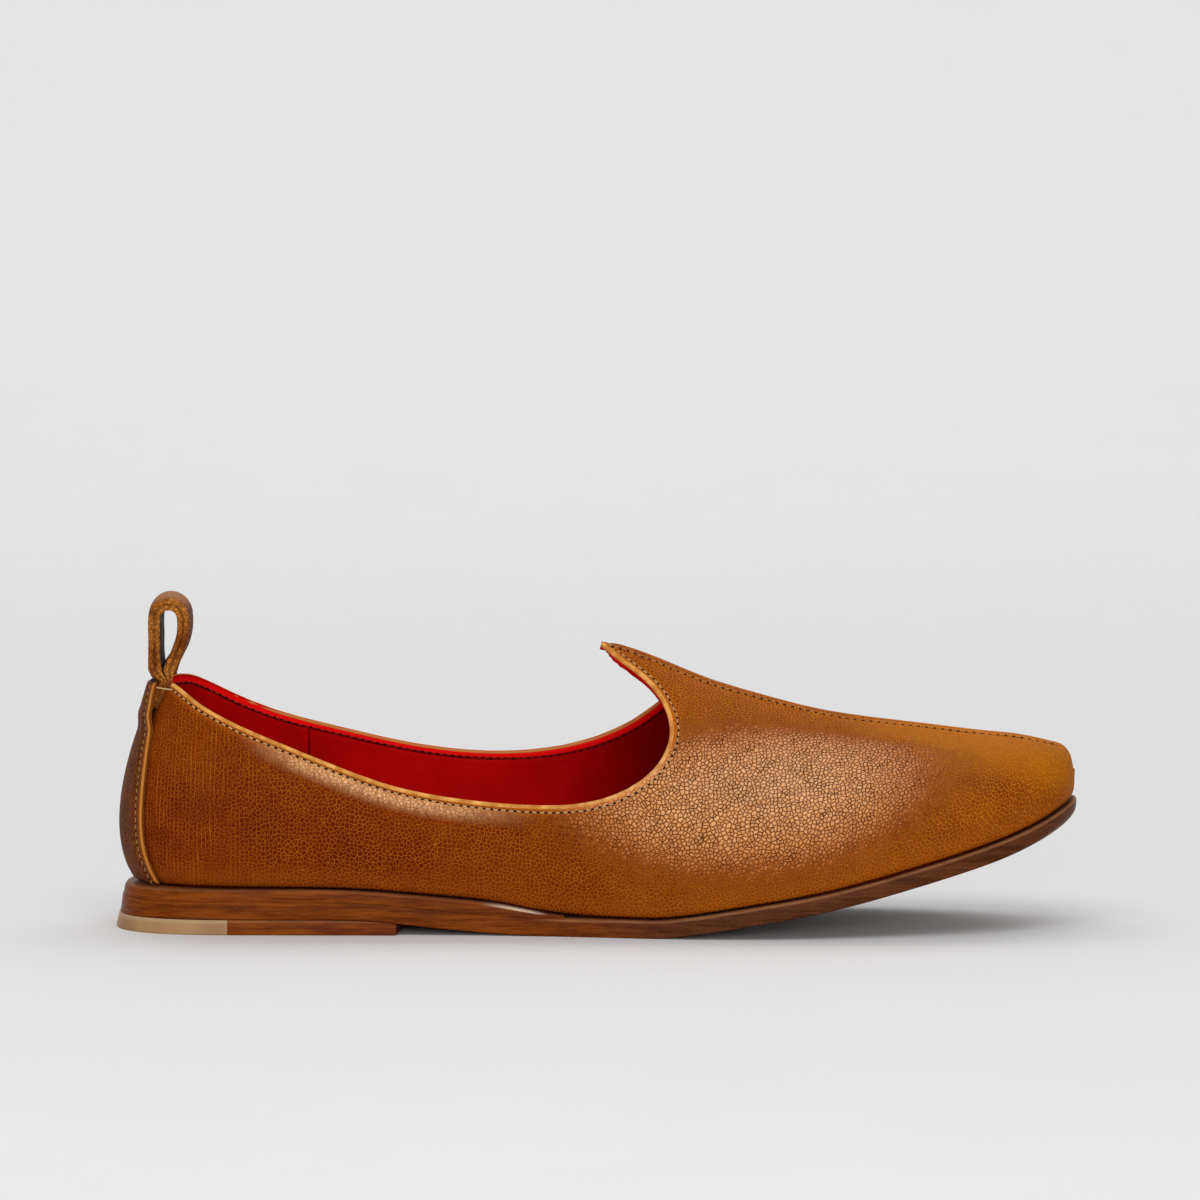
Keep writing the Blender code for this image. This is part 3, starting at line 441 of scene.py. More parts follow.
class FlatLeather:
    """The last's surface laid flat: how far along it and up it each place is, in mm."""

    def __init__(self, side):
        turn = np.linspace(0.0, math.pi, 361)
        self.reach = UPPER_TOE_X - UPPER_HEEL_X
        columns = UPPER_HEEL_X + self.reach * (1 - np.cos(turn)) / 2
        heights = np.linspace(0.0, 1.0, 81)
        points = last_points(columns[:, None], heights[None, :], side)
        forward = np.linalg.norm(np.diff(points, axis=0), axis=2)
        upward = np.linalg.norm(np.diff(points, axis=1), axis=2)
        along = np.concatenate([np.zeros((1, 81)), np.cumsum(forward, axis=0)])
        up = np.concatenate([np.zeros((361, 1)), np.cumsum(upward, axis=1)], axis=1)
        throat = int(np.argmin(np.abs(columns - 170.0)))
        self.table = np.stack([along - along[throat], up], axis=-1)

    def at(self, column, height):
        share = np.clip(1 - 2 * (column - UPPER_HEEL_X) / self.reach, -1.0, 1.0)
        place = np.arccos(share) / math.pi * 360
        level = np.clip(height, 0.0, 1.0) * 80
        i = np.minimum(place.astype(int), 359)
        j = np.minimum(level.astype(int), 79)
        across = (place - i)[..., None]
        over = (level - j)[..., None]
        low = self.table[i, j] * (1 - across) + self.table[i + 1, j] * across
        high = self.table[i, j + 1] * (1 - across) + self.table[i + 1, j + 1] * across
        return low * (1 - over) + high * over


def upper_grids(side, fineness):
    """Quarter, tongue and vamp grids as (foot column, height) arrays."""
    def count(steps):
        return max(int(round(steps * fineness)), 3)

    sizes = (count(22), count(160), count(42))
    edges = {each: topline_pairs(each, *sizes) for each in (LATERAL, MEDIAL)}
    (quarter_column, quarter_height), (tongue_column, tongue_height) = edges[side]
    crest_columns = (edges[LATERAL][1][0] + edges[MEDIAL][1][0]) / 2
    low = low_fractions(count(44))
    high = high_fractions(count(34))
    quarter = (quarter_column[:, None] + 0 * low, quarter_height[:, None] * low)
    column = tongue_column[:, None] + (crest_columns - tongue_column)[:, None] * high
    height = tongue_height[:, None] + (1 - tongue_height)[:, None] * high
    tongue = (column[::-1], height[::-1])
    front_column = tongue_column[0]
    front_height = tongue_height[0]
    even_height = 0.62
    shares = vamp_shares(UPPER_TOE_X - front_column, count(13), count(64), count(24))
    foot = (front_column + (UPPER_TOE_X - front_column) * shares)[:, None]
    top = (crest_columns[0] + (UPPER_TOE_X - crest_columns[0]) * shares)[:, None]
    split = (front_height + (even_height - front_height) * shares)[:, None]
    column = np.concatenate([(foot + 0 * low)[:, :-1], foot + (top - foot) * high], axis=1)
    height = np.concatenate([(split * low)[:, :-1], split + (1 - split) * high], axis=1)
    return quarter, tongue, (column, height)


def seam_y(x):
    """The vamp's centre seam lies a little to the outer side of the crest."""
    away = 3.2 * smooth((x - TONGUE_TIP_X) / 16.0) - 1.1 * smooth((x - 200.0) / 40.0)
    away -= 2.1 * smooth((x - 284.0) / 14.0)
    return sole_outline.at("swing", x) - away


class Skin:
    """The upper's outer surface as one mesh, with what each point is near to."""

    def __init__(self, fineness):
        points = []
        faces = []
        walls = []
        flat = []
        for side in (LATERAL, MEDIAL):
            laid = FlatLeather(side)
            for column, height in upper_grids(side, fineness):
                grid = last_points(column, height, side)
                flat.append(laid.at(column, height).reshape(-1, 2))
                columns, rows = grid.shape[:2]
                start = sum(len(part) for part in points)
                number = start + np.arange(columns * rows).reshape(columns, rows)
                points.append(grid.reshape(-1, 3))
                walls.append(np.full(columns * rows, side))
                quads = grid_cells(number)
                faces.append(quads if side == LATERAL else quads[:, ::-1])
        points = np.concatenate(points)
        keys = np.round(points, 3) + 0.0
        _, first, merged = np.unique(keys, axis=0, return_index=True, return_inverse=True)
        merged = merged.ravel()
        self.points = points[first]
        self.side = np.concatenate(walls)[first]
        self.flat = np.concatenate(flat)[first]
        self.faces = []
        for quad in merged[np.concatenate(faces)]:
            face = list(dict.fromkeys(quad.tolist()))
            if len(face) > 2:
                self.faces.append(tuple(face))
        self.normals = point_normals(self.points, self.faces)
        self.measure()

    def measure(self):
        """Distances from the top edge, the centre seam and the sole, in mm."""
        edge, _ = topline_ring(1200)
        tree = KDTree(len(edge))
        for i, point in enumerate(edge):
            tree.insert(point, i)
        tree.balance()
        self.from_edge = np.array([tree.find(point)[2] for point in self.points])
        x, y, z = self.points.T
        drop = np.maximum(crest.at("z", x) - z - 8.0, 0.0)
        self.from_seam = np.hypot(y - seam_y(x), 3 * drop)
        self.from_seam[x < 150.0] = 99.0
        self.from_sole = z - bed_z(x) - GAP
        self.from_sole[x > 280.0] *= 0.9


def point_normals(points, faces):
    """Area-weighted normals of the points of a mesh."""
    normals = np.zeros_like(points)
    corners = np.array([face if len(face) == 4 else (*face, face[-1]) for face in faces])
    a, b, c, d = (points[corners[:, i]] for i in range(4))
    area = np.cross(c - a, d - b)
    for i in range(4):
        np.add.at(normals, corners[:, i], area)
    return normals / np.maximum(np.linalg.norm(normals, axis=1), 1e-9)[:, None]


def topline_ring(steps):
    """Points and normals all round the top line, from the heel round and back to it."""
    parts = []
    for side in (LATERAL, MEDIAL):
        fractions = np.linspace(0, 1, steps + 1)
        column, z = toplines[side].at(fractions)
        height = height_at_z(column, z, side)
        points = last_points(column, height, side)
        normals = last_normals(column, height, side)
        parts.append((points, normals))
    (near, near_normals), (far, far_normals) = parts
    return (np.concatenate([near, far[::-1][1:]]),
            np.concatenate([near_normals, far_normals[::-1][1:]]))


# ---- frame, meshes and objects ------------------------------------------------------
def sole_shift():
    """What takes the shoe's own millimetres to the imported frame's origin."""
    low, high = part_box("outsole")
    x = np.linspace(0.0, SOLE_LENGTH, 1201)
    widest = outline_y(x, LATERAL, OUTSOLE_HEEL_TOP, SOLE_LENGTH, 0.0).min()
    return np.array([SOLE_LENGTH - high.x / MM, widest - low.y / MM, -low.z / MM])


SHIFT = sole_shift()


def in_frame(points):
    return (np.asarray(points, float) - SHIFT) * MM


def show(name, data):
    """Put an object with this data in the scene, and give it back."""
    made = bpy.data.objects.new(name, data)
    bpy.context.scene.collection.objects.link(made)
    return made


def make_piece(name, points, faces, surface, sharp_degrees=None, attributes=None):
    """One mesh object from points in the shoe's own millimetres."""
    mesh = bpy.data.meshes.new(name)
    mesh.from_pydata([tuple(p) for p in in_frame(points)], [], faces)
    for key, values in (attributes or {}).items():
        layer = mesh.attributes.new(key, "FLOAT", "POINT")
        layer.data.foreach_set("value", np.asarray(values, dtype=np.float32))
    mesh.shade_smooth()
    if sharp_degrees:
        mesh.set_sharp_from_angle(angle=math.radians(sharp_degrees))
    mesh.materials.append(surface)
    return show(name, mesh)


def weld(piece, distance=0.002):
    """Merge doubles and turn every face outwards."""
    shape = bmesh.new()
    shape.from_mesh(piece.data)
    bmesh.ops.remove_doubles(shape, verts=shape.verts, dist=distance * MM)
    bmesh.ops.dissolve_degenerate(shape, edges=shape.edges, dist=distance * MM / 2)
    bmesh.ops.recalc_face_normals(shape, faces=shape.faces)
    shape.to_mesh(piece.data)
    shape.free()
    return piece


def finish_piece(piece, slot, *nodes):
    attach(piece, "root")
    if nodes:
        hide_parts(*nodes)


def grid_cells(number):
    """The four corner numbers of each cell of a numbered grid."""
    corners = (number[:-1, :-1], number[1:, :-1], number[1:, 1:], number[:-1, 1:])
    return np.stack([corner.ravel() for corner in corners], axis=1)


def open_edges(faces):
    """Directed edges that only one face uses."""
    directed = {(a, b) for face in faces for a, b in zip(face, face[1:] + face[:1])}
    return [(a, b) for a, b in sorted(directed) if (b, a) not in directed]


def shell(outer, inner, faces):
    """Two skins with the same faces, joined round their open edges."""
    shift = len(outer)
    made = list(faces) + [tuple(n + shift for n in reversed(face)) for face in faces]
    made += [(b, a, a + shift, b + shift) for a, b in open_edges(faces)]
    return np.vstack([outer, inner]), made


def unevenness(points, size, seed):
    """Soft random waves over a surface, from -1 to 1, the same each run."""
    return np.array([noise.noise(Vector(point / size) + Vector((seed, 0.0, 0.0)))
                     for point in points])


def crease_depth(skin):
    """Sum of the listed creases at each point of the skin."""
    x, _, z = skin.points.T
    depth = np.zeros(len(x))
    for row in CREASE_ROWS:
        side, x_top, z_top, x_low, z_low, width, deep = row
        line = np.array([x_low - x_top, z_low - z_top])
        length = np.hypot(*line)
        along = ((x - x_top) * line[0] + (z - z_top) * line[1]) / length
        waver = 0.6 * np.sin(along * 0.55 + x_top)
        across = ((x - x_top) * line[1] - (z - z_top) * line[0]) / length + waver
        ends = smooth(along / 5.0) * smooth((length - along) / 5.0)
        depth += deep * bump(across, width) * ends * (skin.side == side)
    return depth


def vamp_highlight_patch(skin):
    """1 on the vamp's flanks, where the leather gets a painted highlight, more gloss and
    deeper grain; less elsewhere.
    """
    x, _, z = skin.points.T
    along = x - HIGHLIGHT_X
    up = z - bed_z(x) - HIGHLIGHT_UP + 0.1 * along
    along = along / np.where(along > 0, HIGHLIGHT_AHEAD, HIGHLIGHT_BEHIND)
    up = up / np.where(up > 0, HIGHLIGHT_ABOVE, HIGHLIGHT_BELOW)
    away = np.sqrt(along ** 2 + up ** 2)
    return smooth((1.5 - away) / 1.45) * smooth((skin.from_seam - 6.0) / 14.0)


def edge_roll(distance, thickness):
    """How far a cut edge is rounded back from the leather's face, near the edge."""
    half = thickness / 2
    inside = np.maximum(half - distance, 0.0)
    return half - np.sqrt(np.maximum(half ** 2 - inside ** 2, 0.0))


# ---- the upper: outer leather and lining --------------------------------------------
def top_row_depth(x):
    """The top stitch row runs a little deeper round the throat."""
    more = THROAT_STITCH_DEPTH - TOP_STITCH_DEPTH
    return TOP_STITCH_DEPTH + more * smooth((x - 110.0) / 45.0)


def outer_relief(skin):
    """How far the leather stands out from the last: edges, stitch lines and creases."""
    d = skin.from_edge
    relief = -edge_roll(d, LEATHER)
    x = skin.points[:, 0]
    row = top_row_depth(x)
    relief += 0.10 * bump(d - row + 1.0, 0.6)
    relief -= 0.30 * bump(d - row, 0.55)
    puffed = smooth((x - 35.0) / 25.0) * smooth((150.0 - x) / 45.0)
    relief += (0.20 + 0.42 * puffed) * bump(d - row - 2.6, 1.9)
    seam = skin.from_seam
    fade = smooth((x - 150.0) / 6.0)
    relief += 0.30 * smooth((SEAM_ROW + 0.3 - seam) / 0.9) * fade
    relief -= 0.28 * bump(seam - SEAM_ROW, 0.5) * fade
    relief += 0.14 * bump(seam - SEAM_ROW - 2.2, 1.3) * fade
    relief -= 0.45 * bump(seam, 0.35) * fade
    tuck = np.maximum(2.6 - skin.from_sole, 0.0) / 2.6
    relief -= 0.9 * tuck ** 2.2
    calm = smooth((d - 3.0) / 6.0) * smooth(skin.from_sole / 8.0)
    relief += crease_depth(skin) * calm
    relief += 0.16 * unevenness(skin.points, 19.0, 3.0) * calm
    relief += 0.05 * unevenness(skin.points, 7.0, 8.0) * calm
    return relief


def make_outer_leather(skin, surface):
    relief = outer_relief(skin)
    outer = skin.points + skin.normals * relief[:, None]
    d = skin.from_edge
    depth = LEATHER - edge_roll(d, LEATHER)
    inner = skin.points - skin.normals * depth[:, None]
    points, faces = shell(outer, inner, skin.faces)
    attributes = {
        "edge_distance": np.tile(d, 2),
        "seam_distance": np.tile(skin.from_seam, 2),
        "sole_distance": np.tile(skin.from_sole, 2),
        "flesh_side": np.repeat([0.0, 1.0], len(outer)),
        "vamp_highlight_patch": np.tile(vamp_highlight_patch(skin), 2),
        "grain_along": np.tile(skin.flat[:, 0] * MM, 2),
        "grain_up": np.tile(skin.flat[:, 1] * MM, 2),
    }
    piece = make_piece("outer_leather", points, faces, surface, attributes=attributes)
    finish_piece(piece, "tan_leather", "upper")
    return outer


def make_lining(skin, surface):
    """Lining leather inside the upper; its folded edge lies just below the top edge."""
    d = skin.from_edge
    x = skin.points[:, 0]
    tip = smooth((7.0 - skin.from_seam) / 7.0) * (x > 120.0)
    shown = smooth((d - LINING_DROP - 0.9 * tip) / 0.6)
    back = LEATHER - 0.3 + 0.35 * shown
    throat = smooth((x - 120.0) / 30.0)
    row = top_row_depth(x)
    off_tip = smooth(skin.from_seam / 9.0)
    relief = 0.20 * bump(d - row + 1.0, 0.6)
    relief += 1.1 * throat * off_tip * bump(d - 0.9, 0.9)
    relief -= 0.30 * bump(d - row, 0.45) * (1 - 0.5 * throat)
    relief += 0.12 * bump(d - row - 1.3, 1.2)
    relief += 0.35 * smooth((LINING_SEAM_X - x) / 0.5) * shown
    relief -= 0.25 * bump(x - LINING_SEAM_X - 0.5, 0.6)
    relief += 0.12 * unevenness(skin.points, 17.0, 21.0) * smooth((d - 3.0) / 5.0)
    front = back - 0.02 + (WALL - LEATHER + relief) * shown
    outer = skin.points - skin.normals * back[:, None]
    inner = skin.points - skin.normals * front[:, None]
    points, faces = shell(outer, inner, skin.faces)
    attributes = {"edge_distance": np.tile(d, 2)}
    piece = make_piece("lining", points, faces, surface, attributes=attributes)
    finish_piece(piece, "red_lining")
    return inner


# ---- sole pieces --------------------------------------------------------------------
def slab(levels, stations, heel_closed, toe_closed):
    """Points and faces of a layer that follows the sole's outline."""
    count = len(stations)
    points = []
    rings = []
    for level in levels:
        lateral = []
        medial = []
        for i, station in enumerate(stations):
            lateral.append(len(points))
            points.append(level(station, LATERAL))
            shared = (i == 0 and heel_closed) or (i == count - 1 and toe_closed)
            if shared:
                medial.append(lateral[-1])
            else:
                medial.append(len(points))
                points.append(level(station, MEDIAL))
        loop = lateral + [n for n in reversed(medial) if n not in (lateral[0], lateral[-1])]
        rings.append((lateral, medial, loop))
    faces = []
    for (_, _, low), (_, _, high) in zip(rings, rings[1:]):
        for i in range(len(low)):
            following = (i + 1) % len(low)
            faces.append((low[i], low[following], high[following], high[i]))
    for lateral, medial, _ in (rings[0], rings[-1]):
        for i in range(count - 1):
            corners = [lateral[i], lateral[i + 1], medial[i + 1], medial[i]]
            faces.append(tuple(dict.fromkeys(corners)))
    return np.array(points, dtype=float), faces


def spaced(count, ease_end=True):
    """Stations from 0 to 1, closer together at the start, and at the end if asked."""
    fraction = np.linspace(0, 1, count + 1)
    if ease_end:
        return (1 - np.cos(math.pi * fraction)) / 2
    return 1 - np.cos(math.pi / 2 * fraction)


def make_outsole(surface):
    """Outsole: square under the heel seat, rounded at the toe's lower corner."""
    def level_at(part, turn):
        def level(station, side):
            x = SOLE_LENGTH * station
            low_radius = 0.45 + 2.3 * float(smooth((x - 270.0) / 28.0))
            high_radius = 0.12 + 0.9 * float(smooth((x - 134.0) / 9.0))
            radius = low_radius if part < 0 else high_radius
            inset = radius * (1 - math.cos(turn))
            up = radius * (1 - math.sin(turn))
            up = up if part < 0 else OUTSOLE - up
            if part == 0:
                inset = 0.0
                up = (low_radius + OUTSOLE - high_radius) / 2
            share = up / OUTSOLE
            heel_x = OUTSOLE_HEEL_BOTTOM + (OUTSOLE_HEEL_TOP - OUTSOLE_HEEL_BOTTOM) * share
            toe_x = OUTSOLE_TOE_BOTTOM + (SOLE_LENGTH - OUTSOLE_TOE_BOTTOM) * share
            start = heel_x + inset
            end = toe_x - inset
            x = start + (end - start) * station
            y = outline_y(x, side, start, end, inset)
            return (x, float(y), float(underside_z(x)) + up)
        return level

    turns = np.linspace(0.0, math.pi / 2, 6)
    levels = [level_at(-1, math.pi / 2 - turn) for turn in turns]
    levels.append(level_at(0, 0.0))
    levels += [level_at(1, turn) for turn in turns]
    points, faces = slab(levels, spaced(150), True, True)
    thick = points[:, 2] - underside_z(points[:, 0])
    piece = make_piece("outsole_leather", points, faces, surface, 35.0,
                       {"up_edge": thick / OUTSOLE,
                        "seat_share": 1 - smooth((points[:, 0] - 128.0) / 12.0)})
    finish_piece(weld(piece), "sole_leather", "outsole")


def make_heel_seat(surface):
    def bottom(x):
        return float(outsole_top_z(x)) + 0.03

    profile = ((0.0, 0.1, 0.1), (0.04, -0.02, 0.25), (0.35, -0.05, 0.5), (0.62, 0.0, 0.68),
               (0.75, 0.12, 0.78), (0.87, 0.38, 0.87), (0.96, 0.75, 0.94), (1.0, 1.15, 1.0))
    levels = []
    for share, inset, lean in profile:
        def level(station, side, share=share, inset=inset, lean=lean):
            heel_x = (SEAT_HEEL_BOTTOM + (SEAT_HEEL_RIM - SEAT_HEEL_BOTTOM) * lean
                      + max(inset, 0.0))
            x = heel_x + (SEAT_FRONT - heel_x) * station
            low = bottom(x)
            high = max(float(bed_z(x)), low + 0.05)
            y = outline_y(x, side, heel_x, SOLE_LENGTH, inset + 0.1)
            return (x, float(y), low + (high - low) * share)
        levels.append(level)
    points, faces = slab(levels, spaced(90, False), True, False)
    low = outsole_top_z(points[:, 0])
    share = (points[:, 2] - low) / np.maximum(bed_z(points[:, 0]) - low, 0.1)
    piece = make_piece("heel_seat_layer", points, faces, surface, 35.0,
                       {"up_edge": np.clip(share, 0.0, 1.0)})
    finish_piece(weld(piece), "sole_leather", "heel_seat")


def lift_layer(name, surface, slot, start, fronts, heel_closed, node):
    """A piece of the heel lift between the floor and the outsole."""
    levels = []
    for share, inset in ((0.0, 0.22), (0.05, 0.06), (0.12, 0.0), (0.5, 0.0), (0.93, 0.0),
                         (0.98, 0.05), (1.0, 0.12)):
        def level(station, side, share=share, inset=inset):
            flare = LIFT_FLARE * (1 - share)
            heel_x = LIFT_FLARE - flare + inset
            back = heel_x if start is None else start + inset
            x = back + (fronts[side] - inset - back) * station
            top = min(LIFT, float(underside_z(x)) - GAP) + 0.2
            y = outline_y(x, side, heel_x, SOLE_LENGTH, inset - flare / 2)
            return (x, float(y), top * share)
        levels.append(level)
    points, faces = slab(levels, spaced(60, False) if heel_closed else
                         np.linspace(0, 1, 61), heel_closed, False)
    piece = make_piece(name, points, faces, surface, 35.0,
                       {"up_edge": points[:, 2] / LIFT})
    finish_piece(weld(piece), slot, node)


def make_insole(surface):
    """Sock on the insole board, with a soft edge."""
    levels = []
    clearance = WALL + 2 * GAP
    for up, inset in ((0.0, 0.2), (1.2, 0.0), (1.8, 0.2), (2.15, 0.7), (2.25, 1.6)):
        def level(station, side, up=up, inset=inset):
            heel_x = UPPER_HEEL_X + clearance + inset
            toe_x = UPPER_TOE_X - clearance - inset
            x = heel_x + (toe_x - heel_x) * station
            edge = float(last_columns.at("inset", x)) + clearance + inset
            y = outline_y(x, side, heel_x, toe_x, edge)
            return (x, float(y), float(bed_z(x)) + GAP + up)
        levels.append(level)
    points, faces = slab(levels, spaced(120), True, True)
    piece = make_piece("sock", points, faces, surface, 40.0)
    finish_piece(weld(piece), "red_lining", "insole")


# ---- back strip and pull loop -------------------------------------------------------
def strand_thickness(z):
    share = np.clip((z - STRAP_TAIL_BOTTOM) / (STRAP_TAIL_TOP - STRAP_TAIL_BOTTOM), 0, 1)
    return STRAP_END_THICKNESS + (STRAP_COLLAR_THICKNESS - STRAP_END_THICKNESS) * share


def strip_lift(z):
    over_tail = 2 * strand_thickness(z) + STRAP_SLIT + 2 * STRAP_GAP - STRIP_GAP
    return over_tail * smooth((z - STRIP_LIFT_START) / (STRIP_LIFT_END - STRIP_LIFT_START))


def strip_grid(across, up):
    """Points and level normals of the upper under the back strip."""
    z = np.linspace(BACK_STRIP_ROWS[0][0], BACK_STRIP_ROWS[-1][0], up + 1)[:, None]
    way = np.linspace(-1, 1, across + 1)[None, :]
    edge = back_strip_edge.at("edge_column", z)
    column = UPPER_HEEL_X + (edge - UPPER_HEEL_X) * np.abs(way) ** 2
    points = np.zeros((up + 1, across + 1, 3))
    normals = np.zeros_like(points)
    for side, wanted in ((LATERAL, way[0] < 0), (MEDIAL, way[0] >= 0)):
        columns = column[:, wanted]
        heights = height_at_z(columns, z + np.zeros_like(columns), side)
        points[:, wanted] = last_points(columns, heights, side)
        normals[:, wanted] = last_normals(columns, heights, side)
    normals[..., 2] = 0.0
    normals /= np.linalg.norm(normals, axis=-1, keepdims=True)
    return points, normals, z


def make_back_strip(surface):
    points, normals, z = strip_grid(72, 84)
    steps = np.linalg.norm(np.diff(points, axis=1), axis=2)
    along = np.concatenate([np.zeros((len(points), 1)), np.cumsum(steps, axis=1)], axis=1)
    aside = np.minimum(along, along[:, -1:] - along)
    below = z - z[0]
    above = z[-1] - z
    d = np.minimum(aside, np.minimum(above, below) + 0.0 * aside)
    rounded = edge_roll(d, STRIP_THICK)
    relief = 0.10 * bump(aside - 1.4, 0.7) - 0.30 * bump(aside - STRIP_ROW, 0.5)
    relief += 0.15 * bump(aside - STRIP_ROW - 2.0, 1.3)
    lift = STRIP_GAP - 0.2 + strip_lift(z)
    outer = points + normals * (lift + STRIP_THICK - rounded + relief)[..., None]
    inner = points + normals * (lift + rounded)[..., None]
    quads = np.roll(grid_cells(np.arange(d.size).reshape(d.shape)), -1, axis=1)
    faces = [tuple(quad) for quad in quads.tolist()]
    solid, solid_faces = shell(outer.reshape(-1, 3), inner.reshape(-1, 3), faces)
    attributes = {"edge_distance": np.tile(aside.ravel(), 2),
                  "sole_distance": solid[:, 2] - 14.2}
    piece = make_piece("back_strip_leather", solid, solid_faces, surface,
                       attributes=attributes)
    weld(piece, 0.004)
    rows = {}
    for side in (LATERAL, MEDIAL):
        line = []
        for j in range(1, len(points) - 1):
            reach = STRIP_ROW if side == LATERAL else along[j, -1] - STRIP_ROW
            line.append([np.interp(reach, along[j], outer[j, :, k]) for k in range(3)])
        rows[side] = np.array(line)
    finish_piece(piece, "tan_leather", "back_strip")
    return rows


HEEL_LEVELS = np.linspace(60.0, 80.0, 81)


def heel_contours():
    """Level sections of the upper's back: the y and x of its outer surface."""
    columns = UPPER_HEEL_X + HEEL_ROUND * round_end(24, HEEL_POWER)
    sections = []
    for z in HEEL_LEVELS:
        heights = height_at_z(columns, z, MEDIAL)
        points = last_points(columns, heights, MEDIAL)
        sections.append((points[:, 1], points[:, 0]))
    return sections


HEEL_SECTIONS = heel_contours()


def heel_section(z):
    share = (z - HEEL_LEVELS[0]) / (HEEL_LEVELS[-1] - HEEL_LEVELS[0])
    return HEEL_SECTIONS[int(np.clip(round(share * 80), 0, 80))]


def heel_x(y, z):
    return float(np.interp(abs(y), *heel_section(z)))


def strip_contour(z):
    """Level section of the back strip's inner face: its y and x values."""
    y, x = heel_section(z)
    turn = np.stack([np.gradient(x), np.gradient(y)])
    turn[:, 0] = (0.0, 1.0)
    turn /= np.linalg.norm(turn, axis=0)
    away = STRIP_GAP + strip_lift(z)
    return y + away * turn[0], x - away * turn[1]


def strand_wraps(y, z):
    """How far the faces next to the strip and the upper bend forward at y."""
    level = min(z, STRAP_TAIL_TOP)
    strip_y, strip_x = strip_contour(level)
    at_strip = float(np.interp(abs(y), strip_y, strip_x)) - strip_x[0]
    at_upper = heel_x(y, level) - heel_x(0.0, level)
    at_strip *= smooth((BACK_STRAIGHT_FROM - z) / (BACK_STRAIGHT_FROM - STRAP_TAIL_TOP))
    at_upper *= smooth((FRONT_STRAIGHT_FROM - z) / (FRONT_STRAIGHT_FROM - STRAP_TAIL_TOP))
    return float(at_strip), float(at_upper)


def strap_line():
    back_tail = []
    front_tail = []
    for z in np.linspace(STRAP_TAIL_BOTTOM, STRAP_TAIL_TOP, 5):
        thin = float(strand_thickness(z))
        upper_x = heel_x(0.0, z) - STRAP_GAP
        front_tail.append((upper_x - thin / 2, z, thin))
        back_tail.append((upper_x - thin * 1.5 - STRAP_SLIT, z, thin))
    arc = []
    for angle in np.linspace(math.pi, 0.0, 9):
        arc.append((LOOP_ARC_X + LOOP_ARC_RADIUS * math.cos(angle),
                    LOOP_ARC_Z + LOOP_ARC_RADIUS * math.sin(angle), STRAP_FULL))
    return [*back_tail, *STRAP_BACK_RISE_ROWS, *arc, *STRAP_FRONT_FALL_ROWS,
            *reversed(front_tail)]


def strap_profile(thickness, rise, full):
    """Half section of the strap as (y, offset) from its inner to its outer middle."""
    half = STRAP_HALF_WIDTH
    t = thickness / 2
    layer = t - 0.12 * full
    r = min(0.9, layer * 0.48)

    def arch(y):
        return rise * (1 - (y / half) ** 2)

    def dent(y):
        return 0.2 * full * math.exp(-((half - y - STRAP_ROW) / 0.55) ** 2)

    across = np.concatenate([np.linspace(0.0, half - 3.4, 6)[:-1],
                             np.linspace(half - 3.4, half - r, 9)])
    profile = [(y, STRAP_BOW * arch(y) - t + dent(y)) for y in across]
    for angle in np.linspace(-math.pi / 2, 0.3, 7)[1:]:
        profile.append((half - r + r * math.cos(angle), r - t + r * math.sin(angle)))
    depth = 0.45 * full + 0.05
    profile += [(half - depth * 0.45, -0.16 * t), (half - depth, 0.0),
                (half - depth * 0.45, 0.16 * t)]
    for angle in np.linspace(-0.3, math.pi / 2, 7)[:-1]:
        profile.append((half - r + r * math.cos(angle), t - r + r * math.sin(angle)))
    profile += [(y, arch(y) + t - dent(y)) for y in across[::-1]]
    return profile


def strap_section(x, z, out, thickness, rising):
    """Closed section of the strap, and each point's distance from the strap's edge."""
    full = (thickness - STRAP_COLLAR_THICKNESS) / (STRAP_FULL - STRAP_COLLAR_THICKNESS)
    full = min(max(full, 0.0), 1.0)
    rise = full * (STRAP_CROWN + STRAP_TOP_CROWN * max(out[1], 0.0) ** 2)
    right = strap_profile(thickness, rise, full)
    left = [(-y, offset) for y, offset in reversed(right[1:-1])]
    section = []
    for y, offset in right + left:
        at_strip, at_upper = strand_wraps(y, z)
        outside = at_strip if rising else at_upper
        between = (at_strip + at_upper) / 2
        share = min(offset / thickness + 0.5, 1.0)
        wrap = between + (outside - between) * share
        section.append((x + out[0] * offset + wrap, y, z + out[1] * offset))
    return section, right + left


